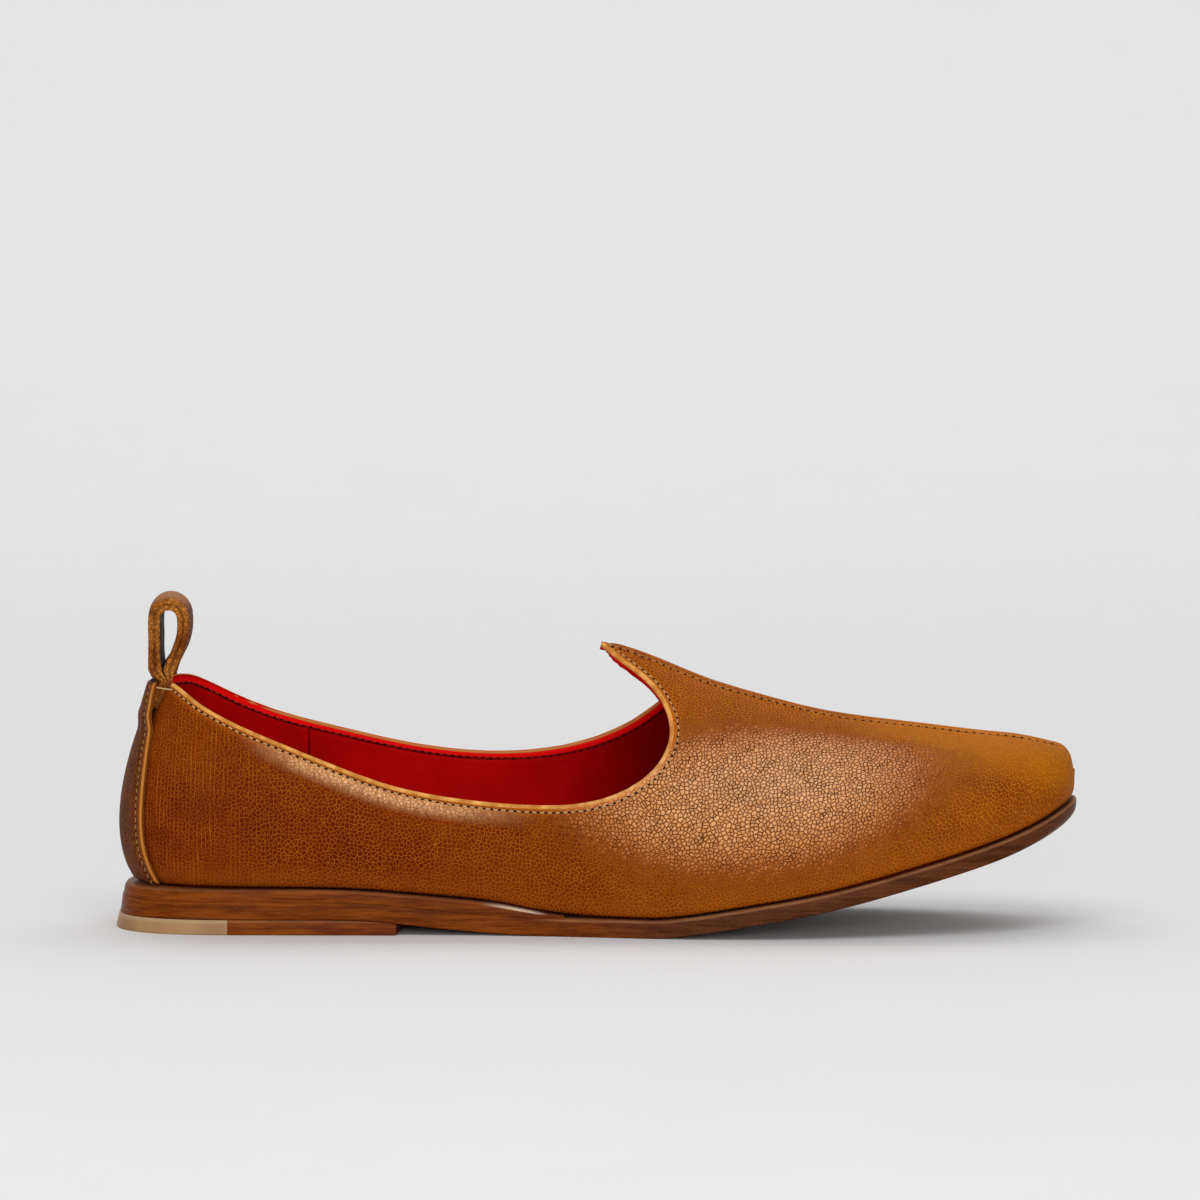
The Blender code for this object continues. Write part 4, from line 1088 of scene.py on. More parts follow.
def make_pull_loop(surface):
    path = Path(STRAP, strap_line())
    steps = 170
    small = 0.003
    points = []
    raw = []
    fold = []
    inner = []
    rows = {LATERAL: [], MEDIAL: []}
    for i in range(steps + 1):
        fraction = i / steps
        x, z, thickness = (float(v) for v in path.at(fraction))
        before = path.at(max(fraction - small, 0.0))
        after = path.at(min(fraction + small, 1.0))
        along = np.array([float(after[0] - before[0]), float(after[1] - before[1])])
        along /= np.linalg.norm(along)
        out = np.array([-along[1], along[0]])
        section, flat = strap_section(x, z, out, thickness, fraction < 0.5)
        points += section
        for y, offset in flat:
            beside = STRAP_HALF_WIDTH - abs(y)
            raw.append(float(smooth((1.3 - beside) / 0.5)))
            fold.append(math.exp(-(offset / 0.28) ** 2) * float(beside < 1.0))
            # Inner faces, which get painted shade.
            inner.append(float(offset < 0 and beside > 1.0))
        if z > 79.0:
            near = [n for n, (y, offset) in enumerate(flat)
                    if offset > 0 and y > 0 and abs(STRAP_HALF_WIDTH - y - STRAP_ROW) < 0.3]
            point = np.array(section[near[0]])
            rows[MEDIAL].append(point)
            rows[LATERAL].append(point * (1.0, -1.0, 1.0))
    size = len(section)
    faces = [tuple(range(size)), tuple(steps * size + n for n in reversed(range(size)))]
    for i in range(steps):
        for n in range(size):
            following = (n + 1) % size
            a = i * size + n
            b = i * size + following
            faces.append((a, b, b + size, a + size))
    plain = np.full(len(points), 99.0)
    attributes = {"raw_edge": raw, "fold_line": fold, "shaded_inner_face": inner,
                  "edge_distance": plain, "sole_distance": plain}
    piece = make_piece("pull_loop_strap", points, faces, surface, 60.0, attributes)
    weld(piece)
    finish_piece(piece, "tan_leather", "pull_loop")
    return {side: np.array(line) for side, line in rows.items()}


# ---- node helpers -------------------------------------------------------------------
class Graph:
    """Adds nodes to a tree; an input may be a number, a colour or a socket."""

    def __init__(self, tree):
        self.tree = tree

    def add(self, kind, inputs=None, **settings):
        made = self.tree.nodes.new(kind)
        for key, value in settings.items():
            setattr(made, key, value)
        for key, value in (inputs or {}).items():
            socket = made.inputs[key]
            if isinstance(value, bpy.types.NodeSocket):
                self.tree.links.new(value, socket)
            else:
                socket.default_value = value
        return made

    def maths(self, operation, *values, clamp=False):
        made = self.add("ShaderNodeMath", dict(enumerate(values)), operation=operation)
        made.use_clamp = clamp
        return made.outputs[0]

    def times(self, first, second):
        return self.maths("MULTIPLY", first, second)

    def times_plus(self, first, second, third, clamp=False):
        return self.maths("MULTIPLY_ADD", first, second, third, clamp=clamp)

    def vector(self, x, y, z=0.0):
        return self.add("ShaderNodeCombineXYZ", {"X": x, "Y": y, "Z": z}).outputs[0]

    def parts(self, vector):
        return self.add("ShaderNodeSeparateXYZ", {"Vector": vector}).outputs

    def swayed(self, where, scale, detail, reach):
        """Where, moved about by a soft noise of that scale."""
        drift = self.add("ShaderNodeTexNoise", {"Vector": where, "Scale": scale,
                                                "Detail": detail, "Roughness": 0.5})
        centred = self.add("ShaderNodeVectorMath",
                           {0: drift.outputs["Color"], 1: (0.5, 0.5, 0.5)},
                           operation="SUBTRACT")
        moved = self.add("ShaderNodeVectorMath", {0: centred.outputs[0], "Scale": reach},
                         operation="SCALE")
        return self.add("ShaderNodeVectorMath", {0: where, 1: moved.outputs[0]},
                        operation="ADD").outputs[0]

    def ramp(self, value, low, high, start=0.0, end=1.0):
        """Value mapped softly from start..end at low..high."""
        made = self.add("ShaderNodeMapRange", {"Value": value, "From Min": low,
                                               "From Max": high, "To Min": start,
                                               "To Max": end},
                        interpolation_type="SMOOTHSTEP")
        return made.outputs["Result"]

    def blend(self, share, first, second, mode="MIX"):
        made = self.add("ShaderNodeMix", data_type="RGBA", blend_type=mode)
        for socket, value in ((made.inputs[0], share), (made.inputs[6], first),
                              (made.inputs[7], second)):
            if isinstance(value, bpy.types.NodeSocket):
                self.tree.links.new(value, socket)
            elif isinstance(value, tuple):
                socket.default_value = (*value, 1.0) if len(value) == 3 else value
            else:
                socket.default_value = value
        return made.outputs[2]

    def attribute(self, name):
        return self.add("ShaderNodeAttribute", attribute_name=name).outputs["Fac"]

    def noise(self, where, scale, detail=2.0, roughness=0.5):
        return self.add("ShaderNodeTexNoise", {"Vector": where, "Scale": scale,
                                               "Detail": detail,
                                               "Roughness": roughness}).outputs["Fac"]

    def place(self, scale=(1.0, 1.0, 1.0), turn=(0.0, 0.0, 0.0), where=None):
        if where is None:
            where = self.add("ShaderNodeTexCoord").outputs["Object"]
        mapping = self.add("ShaderNodeMapping", {"Vector": where})
        mapping.inputs["Scale"].default_value = scale
        mapping.inputs["Rotation"].default_value = turn
        return mapping.outputs["Vector"]


def tree_input(tree, name, kind, value=None):
    socket = tree.interface.new_socket(name, in_out="INPUT", socket_type=kind)
    if value is not None:
        socket.default_value = value


def shader_group(name, inputs, outputs):
    """An empty shader group with named sockets, its graph, and its two ends."""
    tree = bpy.data.node_groups.new(name, "ShaderNodeTree")
    for key, (kind, value) in inputs.items():
        tree_input(tree, key, kind, value)
    for key, kind in outputs.items():
        tree.interface.new_socket(key, in_out="OUTPUT", socket_type=kind)
    graph = Graph(tree)
    given = graph.add("NodeGroupInput").outputs
    result = graph.add("NodeGroupOutput").inputs
    return tree, graph, given, result


def put(graph, value, socket):
    graph.tree.links.new(value, socket)


# ---- stitches by Geometry Nodes -----------------------------------------------------
def stitch_row_tree():
    """Stitches and needle holes in turn along a path that carries outward directions."""
    tree = bpy.data.node_groups.new("stitch row", "GeometryNodeTree")
    tree_input(tree, "Path", "NodeSocketGeometry")
    for name, size in zip(STITCH_SIZES, (2.3, 1.5, 0.24, 0.8, 0.5)):
        tree_input(tree, name, "NodeSocketFloat", size * MM)
    tree_input(tree, "Thread", "NodeSocketMaterial")
    tree_input(tree, "Hole", "NodeSocketMaterial")
    tree.interface.new_socket("Row", in_out="OUTPUT", socket_type="NodeSocketGeometry")
    g = Graph(tree)
    given = g.add("NodeGroupInput").outputs
    curve = g.add("GeometryNodeMeshToCurve", {"Mesh": given["Path"]})
    spread = g.add("GeometryNodeResampleCurve", {"Curve": curve.outputs["Curve"],
                                                 "Length": g.times(given["Pitch"], 0.5)},
                   mode="LENGTH")
    outward = g.add("GeometryNodeInputNamedAttribute", {"Name": "outward"},
                    data_type="FLOAT_VECTOR")
    along = g.add("GeometryNodeInputTangent")
    lay = g.add("FunctionNodeAxesToRotation", {"Primary Axis": outward.outputs["Attribute"],
                                               "Secondary Axis": along.outputs["Tangent"]},
                primary_axis="Z", secondary_axis="X")
    odd = g.maths("MODULO", g.add("GeometryNodeInputIndex").outputs["Index"], 2)
    even = g.maths("SUBTRACT", 1, odd)

    radius = given["Thread radius"]
    reach = g.times(given["Stitch length"], 0.5)
    sunk = g.times(radius, -0.9)
    ends = [g.vector(g.times(reach, way), 0.0, sunk) for way in (-1.0, 1.0)]
    crown = g.vector(0.0, 0.0, g.times(radius, 1.3))
    arch = g.add("GeometryNodeCurveQuadraticBezier",
                 {"Resolution": 6, "Start": ends[0], "Middle": crown, "End": ends[1]})
    ring = g.add("GeometryNodeCurvePrimitiveCircle", {"Resolution": 7, "Radius": radius})
    thread = g.add("GeometryNodeCurveToMesh", {"Fill Caps": True,
                                               "Curve": arch.outputs["Curve"],
                                               "Profile Curve": ring.outputs["Curve"]})
    # Each needle hole is a dark flattened pit: painted shade where the hole is.
    pit = g.add("GeometryNodeMeshIcoSphere", {"Radius": 1.0, "Subdivisions": 2})
    width = given["Hole width"]
    pit_size = g.vector(g.times(given["Hole length"], 0.5), g.times(width, 0.5),
                        g.times(width, 0.22))
    flat_pit = g.add("GeometryNodeTransform", {"Geometry": pit.outputs["Mesh"],
                                               "Scale": pit_size})

    joined = g.add("GeometryNodeJoinGeometry")
    for shape, wanted, surface in ((thread.outputs["Mesh"], even, "Thread"),
                                   (flat_pit.outputs["Geometry"], odd, "Hole")):
        even_shade = g.add("GeometryNodeSetShadeSmooth", {"Geometry": shape})
        shape = even_shade.outputs["Geometry"]
        placed = g.add("GeometryNodeInstanceOnPoints",
                       {"Points": spread.outputs["Curve"], "Selection": wanted,
                        "Instance": shape, "Rotation": lay.outputs["Rotation"]})
        real = g.add("GeometryNodeRealizeInstances",
                     {"Geometry": placed.outputs["Instances"]})
        painted = g.add("GeometryNodeSetMaterial", {"Geometry": real.outputs["Geometry"],
                                                    "Material": given[surface]})
        put(g, painted.outputs["Geometry"], joined.inputs["Geometry"])
    g.add("NodeGroupOutput", {"Row": joined.outputs["Geometry"]})
    return tree


def stitch_row(name, tree, kind, points, outward, thread, hole_shade, slot="tan_leather"):
    """Run the stitch tree along a path and keep its result as a plain mesh."""
    values = {key: size * MM for key, size in zip(STITCH_SIZES, STITCHES[kind])}
    values.update(Thread=thread, Hole=hole_shade)
    mesh = bpy.data.meshes.new(name + "_path")
    edges = [(i, i + 1) for i in range(len(points) - 1)]
    mesh.from_pydata([tuple(p) for p in in_frame(points)], edges, [])
    layer = mesh.attributes.new("outward", "FLOAT_VECTOR", "POINT")
    layer.data.foreach_set("vector", np.asarray(outward, dtype=np.float32).ravel())
    holder = show(name + "_path", mesh)
    modifier = holder.modifiers.new("stitches", "NODES")
    modifier.node_group = tree
    for item in tree.interface.items_tree:
        if item.item_type == "SOCKET" and item.in_out == "INPUT" and item.name in values:
            modifier[item.identifier] = values[item.name]
    shown = holder.evaluated_get(bpy.context.evaluated_depsgraph_get())
    result = bpy.data.meshes.new_from_object(shown)
    result.name = name
    if "outward" in result.attributes:
        result.attributes.remove(result.attributes["outward"])
    holder.modifiers.remove(modifier)
    bpy.data.objects.remove(holder)
    finish_piece(show(name, result), slot)


def settle(line, points, faces, sink=0.0):
    """Drop a line of points onto a surface and give the outward directions there."""
    surface = BVHTree.FromPolygons([tuple(p) for p in points], faces)
    settled = []
    outward = []
    for point in line:
        place, normal, _, _ = surface.find_nearest(tuple(point))
        settled.append(np.array(place) - np.array(normal) * sink)
        outward.append(np.array(normal))
    return np.array(settled), np.array(outward)


def inward_row(ring, normals, depth):
    """Points a set distance below the top line, on the upper's own tangent plane."""
    along = np.gradient(ring, axis=0)
    along /= np.linalg.norm(along, axis=1, keepdims=True)
    down = np.cross(normals, along)
    flip = np.sign(down[:, 2].sum()) or 1.0
    return ring - flip * down * depth[:, None]


# ---- shared surface groups ----------------------------------------------------------
def pebbled_grain_group(name, dimensions):
    """Pebbled leather: cells with fine lines between them, and pores in the cells."""
    tree, g, given, result = shader_group(
        name, {"Vector": ("NodeSocketVector", None),
               "Cell scale": ("NodeSocketFloat", 640.0),
               "Waver": ("NodeSocketFloat", 0.5),
               "Line width": ("NodeSocketFloat", 0.16)},
        dict.fromkeys(("Height", "Lines", "Cells"), "NodeSocketFloat"))
    reach = g.maths("DIVIDE", given["Waver"], given["Cell scale"])
    where = g.swayed(given["Vector"], 210.0, 2.0, reach)
    scale = given["Cell scale"]
    cells = ((scale, "DISTANCE_TO_EDGE"), (g.times(scale, 2.1), "DISTANCE_TO_EDGE"),
             (scale, "F1"))
    big, fine, cell = (
        g.add("ShaderNodeTexVoronoi", {"Vector": where, "Scale": size},
              voronoi_dimensions=dimensions, feature=feature) for size, feature in cells)
    big_up = g.ramp(big.outputs["Distance"], 0.01, given["Line width"])
    fine_up = g.ramp(fine.outputs["Distance"], 0.0, given["Line width"])
    dome = g.ramp(big.outputs["Distance"], 0.0, 0.5)
    pores = g.noise(where, g.times(given["Cell scale"], 5.0), 2.0)
    height = g.times(big_up, 0.66)
    height = g.times_plus(fine_up, 0.1, height)
    height = g.times_plus(dome, 0.34, height)
    height = g.times_plus(pores, 0.1, height)
    lines = g.maths("SUBTRACT", 1.0, big_up)
    lines = g.times_plus(g.maths("SUBTRACT", 1.0, fine_up), 0.12, lines, clamp=True)
    put(g, height, result["Height"])
    put(g, lines, result["Lines"])
    put(g, cell.outputs["Color"], result["Cells"])
    return tree


def fibre_edge_group():
    """Cut sole leather: fibres along the edge, in layers, with scattered pits."""
    tree, g, given, result = shader_group(
        "fibre edge", {"Vector": ("NodeSocketVector", None)},
        dict.fromkeys(("Streaks", "Pits", "Height"), "NodeSocketFloat"))
    long = g.place((0.6, 0.6, 9.0), where=given["Vector"])
    streaks = g.noise(long, 240.0, 5.0, 0.7)
    layers = g.noise(long, 70.0, 3.0, 0.6)
    pits = g.add("ShaderNodeTexVoronoi", {"Vector": given["Vector"], "Scale": 900.0},
                 feature="F1")
    pit_mask = g.ramp(pits.outputs["Distance"], 0.12, 0.3, 1.0, 0.0)
    mixed = g.times_plus(layers, 0.55, g.times(streaks, 0.45))
    height = g.times_plus(pit_mask, -0.4, streaks)
    put(g, mixed, result["Streaks"])
    put(g, pit_mask, result["Pits"])
    put(g, height, result["Height"])
    return tree


def new_material(name, **constants):
    """A material with its Principled shader; constants go on the shader's own sockets."""
    made = bpy.data.materials.new(name)
    made.use_nodes = True
    shader = made.node_tree.nodes["Principled BSDF"]
    for key, value in constants.items():
        shader.inputs[key.replace("_", " ")].default_value = value
    return made, Graph(made.node_tree), shader


def group_node(graph, group, inputs):
    return graph.add("ShaderNodeGroup", inputs, node_tree=group).outputs


def bump_normal(graph, height, depth, strength=1.0):
    made = graph.add("ShaderNodeBump", {"Height": height, "Distance": depth,
                                        "Strength": strength})
    return made.outputs["Normal"]


# ---- finishes -----------------------------------------------------------------------
# Colours of the cut top edge; its lighter rubbed tone is partly a painted highlight.
CUT_EDGE = (0.47, 0.175, 0.027)
CUT_EDGE_RUBBED_AND_LIT = (0.74, 0.365, 0.098)
# Black edge dye and painted shade in the crevice where the leather meets the sole.
CREVICE_DYE_AND_SHADE = (0.012, 0.005, 0.002)
STACK_DARK = (0.100, 0.0165, 0.0008)
STACK_BROWN = (0.235, 0.052, 0.0030)


def upper_leather(name, grain, folds):
    """Waxed tan leather: pebbled, pulled upright at the heel; darker dye toward the heel;
    painted light: a highlight patch with deeper grain on the vamp's flanks with shade in
    its creases, highlights on the top of the forward vamp, below the quarters' top stitch
    row and on the top edge, and shade low on the upper and in the crevice at the sole.
    """
    made, g, shader = new_material(name, Coat_Roughness=0.28, Coat_IOR=1.8,
                                   Specular_IOR_Level=0.02)
    where = g.place()
    parts = g.parts(where)
    edge = g.attribute("edge_distance")
    seam = g.attribute("seam_distance")
    foot = g.attribute("sole_distance")
    highlight_patch = g.attribute("vamp_highlight_patch")
    flesh = g.attribute("flesh_side")
    laid = g.vector(g.attribute("grain_along"), g.attribute("grain_up"))
    round_cells = group_node(g, grain, {"Vector": laid, "Cell scale": 800.0, "Waver": 0.8,
                                        "Line width": 0.13})
    at_heel = g.ramp(parts["X"], -0.080, -0.128)
    upright = g.add("ShaderNodeTexWave", {"Vector": g.place((1.0, 0.12, 1.0), where=laid),
                                          "Scale": 240.0, "Distortion": 3.2, "Detail": 2.0,
                                          "Detail Scale": 1.4}, bands_direction="X")
    pull = g.ramp(upright.outputs["Fac"], 0.86, 1.0)
    some = g.noise(g.place((1.0, 0.4, 1.0), where=laid), 230.0, 2.0)
    pull = g.times(pull, g.ramp(some, 0.38, 0.62, 0.15, 0.85))
    pull = g.times(pull, at_heel)
    height = g.times_plus(pull, -0.35, round_cells["Height"])
    softer = g.times(round_cells["Lines"], g.ramp(at_heel, 0.0, 1.0, 1.0, 0.7))
    lines = g.maths("MAXIMUM", softer, pull)
    apart = g.ramp(round_cells["Cells"], 0.2, 0.8)
    deep = group_node(g, folds, {"Vector": laid})
    cloud = g.ramp(g.noise(where, 34.0, 4.0, 0.62), 0.34, 0.66)
    small_cloud = g.ramp(g.noise(where, 170.0, 3.0, 0.6), 0.3, 0.7)

    # Darker dye toward the heel, and painted shade low on the upper, toward the sole.
    toward_heel = g.ramp(parts["X"], 0.065, -0.075)
    low = g.ramp(foot, 40.0, 16.0)
    heel_dye_and_low_shade = g.times_plus(toward_heel, 0.85, g.times(low, 0.2), clamp=True)
    cell_tan = g.blend(cloud, (0.205, 0.029, 0.0007), (0.305, 0.060, 0.0012))
    cell_brown = g.blend(cloud, (0.100, 0.0064, 0.0003), (0.165, 0.0150, 0.0005))
    cell = g.blend(heel_dye_and_low_shade, cell_tan, cell_brown)
    cell = g.blend(g.times(apart, 0.12), cell, (0.050, 0.0035, 0.0003))
    line = g.blend(heel_dye_and_low_shade, (0.66, 0.225, 0.009), (0.50, 0.130, 0.0036))
    strong = g.times_plus(small_cloud, 0.3, 0.7)
    closed = g.blend(g.times(lines, strong), cell, line)
    # Painted light on the top of the forward vamp, beside the centre seam.
    crown = g.times(g.ramp(seam, 34.0, 12.0), g.ramp(parts["X"], 0.06, 0.11))
    closed = g.blend(g.times(crown, 0.4), closed, (0.66, 0.215, 0.004))
    # Painted highlight on the vamp's flanks: pale cell tops, with painted shade in the
    # creases and valleys between them.
    pale = g.blend(apart, (0.80, 0.325, 0.084), (0.88, 0.410, 0.145))
    top = g.blend(g.ramp(highlight_patch, 0.2, 0.95), (0.36, 0.084, 0.0040), pale)
    slanting = g.place(turn=(0.0, 0.0, -0.6), where=laid)
    chains = g.noise(g.place((0.6, 1.5, 1.0), where=slanting), 230.0, 2.0)
    deeper = g.ramp(chains, 0.42, 0.68)
    crease_shade = g.blend(deeper, (0.300, 0.056, 0.002), (0.130, 0.020, 0.0009))
    valley = g.ramp(round_cells["Height"], 1.02, 0.62)
    valley = g.times(valley, g.times_plus(deeper, 0.35, 0.55))
    painted_highlight = g.blend(g.maths("MAXIMUM", lines, valley), top, crease_shade)
    by_cell = g.times_plus(g.maths("SUBTRACT", apart, 0.5), 0.16, highlight_patch)
    style = g.ramp(by_cell, 0.16, 0.5)
    colour = g.blend(style, closed, painted_highlight)
    # Painted shade in the long folds within the highlight patch.
    shut = g.times(deep["Lines"], g.ramp(highlight_patch, 0.1, 0.7))
    colour = g.blend(g.times(shut, 0.6), colour, (0.130, 0.020, 0.0010))
    burnish = g.times(g.ramp(foot, 10.0, 3.0), g.ramp(foot, 0.2, 1.4))
    colour = g.blend(g.times(burnish, 0.4), colour, (0.26, 0.056, 0.004))
    # Painted highlight on the puffed band below the top stitch row of the quarters, broken
    # up by gathers.
    along = g.times(g.ramp(parts["X"], -0.112, -0.085), g.ramp(parts["X"], -0.015, -0.055))
    puffed = g.times(g.ramp(edge, 1.6, 2.6), g.ramp(edge, 8.0, 3.2))
    puffed = g.times(puffed, along)
    gathers = g.noise(g.place((2.2, 1.0, 0.9)), 520.0, 3.0)
    uneven = g.ramp(gathers, 0.36, 0.64, 0.45, 1.0)
    uneven = g.times_plus(g.times(lines, uneven), -0.7, uneven)
    colour = g.blend(g.times(puffed, uneven), colour, (0.80, 0.42, 0.17))
    beside = g.times(g.ramp(edge, 4.0, 1.8), 0.4)
    colour = g.blend(beside, colour, (0.42, 0.120, 0.010))
    # The top edge's fold: raw tan edge with lighter patches, partly a painted highlight
    # where the rounded edge faces up.
    rub = g.ramp(g.noise(where, 260.0, 3.0), 0.38, 0.72)
    fold = g.blend(rub, CUT_EDGE, CUT_EDGE_RUBBED_AND_LIT)
    colour = g.blend(g.ramp(edge, 1.35, 0.95), colour, fold)
    colour = g.blend(g.times(g.ramp(seam, 0.55, 0.15), 0.8), colour, (0.06, 0.018, 0.004))
    # Edge dye and painted shade in the crevice along the sole.
    colour = g.blend(g.ramp(foot, 1.1, 0.1), colour, CREVICE_DYE_AND_SHADE)
    colour = g.blend(g.ramp(flesh, 0.3, 0.7), colour, (0.46, 0.20, 0.05))
    put(g, colour, shader.inputs["Base Color"])

    shine = g.maths("POWER", highlight_patch, 2.0)
    wax = g.maths("MAXIMUM", shine, g.times(puffed, 0.5))
    wax = g.times_plus(g.times(valley, wax), -1.0, wax)
    wax = g.times_plus(wax, 0.85, 0.012)
    wax = g.times_plus(shut, -0.8, wax, clamp=True)
    put(g, wax, shader.inputs["Coat Weight"])
    put(g, g.times_plus(lines, 0.1, 0.5), shader.inputs["Roughness"])

    calm = g.times(g.ramp(edge, 1.2, 4.0, 0.06, 1.0), g.ramp(seam, 2.0, 7.0, 0.4, 1.0))
    calm = g.times(calm, g.ramp(foot, 1.5, 8.0, 0.35, 1.0))
    strength = g.times_plus(highlight_patch, 1.5, 0.6)
    height = g.times(height, strength)
    height = g.times_plus(deep["Height"], g.times(highlight_patch, 0.9), height)
    height = g.times(height, calm)
    normal = bump_normal(g, height, 0.00042, 1.0)
    put(g, normal, shader.inputs["Normal"])
    put(g, normal, shader.inputs["Coat Normal"])
    return made


def strap_leather(name, grain):
    """The darker leather of the back strip and the pull loop, with golden raw edges, a
    painted highlight on the loop's top and painted shade on its inner faces.
    """
    made, g, shader = new_material(name, Specular_IOR_Level=0.06)
    where = g.place()
    edge = g.attribute("edge_distance")
    foot = g.attribute("sole_distance")
    raw = g.attribute("raw_edge")
    fold = g.attribute("fold_line")
    inner = g.attribute("shaded_inner_face")
    cells = group_node(g, grain, {"Vector": where, "Cell scale": 850.0, "Waver": 1.0,
                                  "Line width": 0.2})
    cloud = g.ramp(g.noise(where, 110.0, 4.0, 0.6), 0.36, 0.64)
    colour = g.blend(cloud, (0.046, 0.0062, 0.0006), (0.090, 0.015, 0.0013))
    colour = g.blend(g.times(cells["Lines"], 0.6), colour, (0.25, 0.070, 0.008))
    colour = g.blend(g.ramp(edge, 2.2, 0.9, 0.0, 0.5), colour, (0.26, 0.070, 0.007))
    colour = g.blend(g.ramp(edge, 0.95, 0.6), colour, (0.46, 0.170, 0.026))
    colour = g.blend(g.ramp(edge, 0.35, 0.1), colour, (0.15, 0.036, 0.003))
    # Painted highlight on the top of the loop.
    high = g.parts(where)["Z"]
    colour = g.blend(g.ramp(high, 0.0985, 0.1030, 0.0, 0.85), colour, (0.36, 0.150, 0.060))
    turned = g.blend(cloud, (0.22, 0.050, 0.004), (0.50, 0.175, 0.026))
    turned = g.blend(g.times(cells["Lines"], 0.6), turned, (0.050, 0.010, 0.001))
    colour = g.blend(raw, colour, turned)
    colour = g.blend(g.times(fold, 0.6), colour, (0.045, 0.012, 0.003))
    # Painted shade on the strap's inner faces.
    colour = g.blend(g.times(inner, 0.85), colour, (0.060, 0.045, 0.038))
    # Edge dye and painted shade where the back strip meets the sole.
    colour = g.blend(g.ramp(foot, 0.9, 0.1), colour, CREVICE_DYE_AND_SHADE)
    put(g, colour, shader.inputs["Base Color"])
    rough = g.times_plus(cells["Lines"], 0.12, 0.5)
    put(g, rough, shader.inputs["Roughness"])
    calm = g.ramp(edge, 1.2, 4.5, 0.15, 1.0)
    height = g.times(cells["Height"], calm)
    put(g, bump_normal(g, height, 0.00022, 0.9), shader.inputs["Normal"])
    return made


def fold_lines_group():
    """Longer, deeper creases that run through several cells of the grain."""
    tree, g, given, result = shader_group(
        "opened creases", {"Vector": ("NodeSocketVector", None)},
        dict.fromkeys(("Height", "Lines"), "NodeSocketFloat"))
    where = g.swayed(given["Vector"], 130.0, 1.0, 0.0040)
    long = g.place((0.55, 1.5, 1.0), where=g.place(turn=(0.0, 0.0, -0.6), where=where))
    net = g.add("ShaderNodeTexVoronoi", {"Vector": long, "Scale": 330.0},
                voronoi_dimensions="2D", feature="DISTANCE_TO_EDGE")
    some = g.ramp(g.noise(given["Vector"], 120.0, 2.0), 0.40, 0.62, 0.0, 1.0)
    line = g.ramp(net.outputs["Distance"], 0.055, 0.0)
    line = g.times(line, some)
    put(g, line, result["Lines"])
    wide = g.times(g.ramp(net.outputs["Distance"], 0.22, 0.0), some)
    put(g, g.times(wide, -1.0), result["Height"])
    return tree


def lining_leather(name, grain):
    """Thin dyed leather, with a painted highlight on its rim where it is folded over the
    edge, and painted shade toward the throat.
    """
    made, g, shader = new_material(name, Specular_IOR_Level=0.03)
    where = g.place()
    fine = group_node(g, grain, {"Vector": where, "Cell scale": 1500.0, "Waver": 0.8,
                                 "Line width": 0.25})
    cloud = g.ramp(g.noise(where, 55.0, 3.0), 0.3, 0.7)
    colour = g.blend(cloud, (0.33, 0.0004, 0.0006), (0.42, 0.0007, 0.0009))
    parts = g.parts(where)
    # Painted shade toward the throat.
    colour = g.blend(g.ramp(parts["X"], -0.03, 0.03, 0.0, 0.55), colour,
                     (0.10, 0.0004, 0.0004))
    edge = g.attribute("edge_distance")
    # Painted highlight on the rim, where the lining folds over the edge.
    rim_highlight = g.ramp(edge, 2.1, 1.7)
    colour = g.blend(g.times(rim_highlight, 0.9), colour, (0.72, 0.0018, 0.0018))
    sewn = g.ramp(g.maths("ABSOLUTE", g.maths("SUBTRACT", edge, 2.35)), 0.42, 0.18)
    off_seam = g.maths("SUBTRACT", parts["X"], (LINING_SEAM_X + 0.4 - SHIFT[0]) * MM)
    joined = g.ramp(g.maths("ABSOLUTE", off_seam), 0.0005, 0.0002)
    joined = g.times(joined, g.ramp(edge, 1.8, 2.4))
    broken = g.ramp(g.noise(where, 420.0, 2.0), 0.3, 0.6, 0.55, 1.0)
    dark = g.times(g.maths("MAXIMUM", sewn, joined), broken)
    colour = g.blend(g.times(dark, 0.85), colour, (0.045, 0.0004, 0.0004))
    put(g, colour, shader.inputs["Base Color"])
    rough = g.times_plus(fine["Lines"], 0.12, 0.5)
    put(g, rough, shader.inputs["Roughness"])
    put(g, bump_normal(g, fine["Height"], 0.00006, 0.7), shader.inputs["Normal"])
    return made


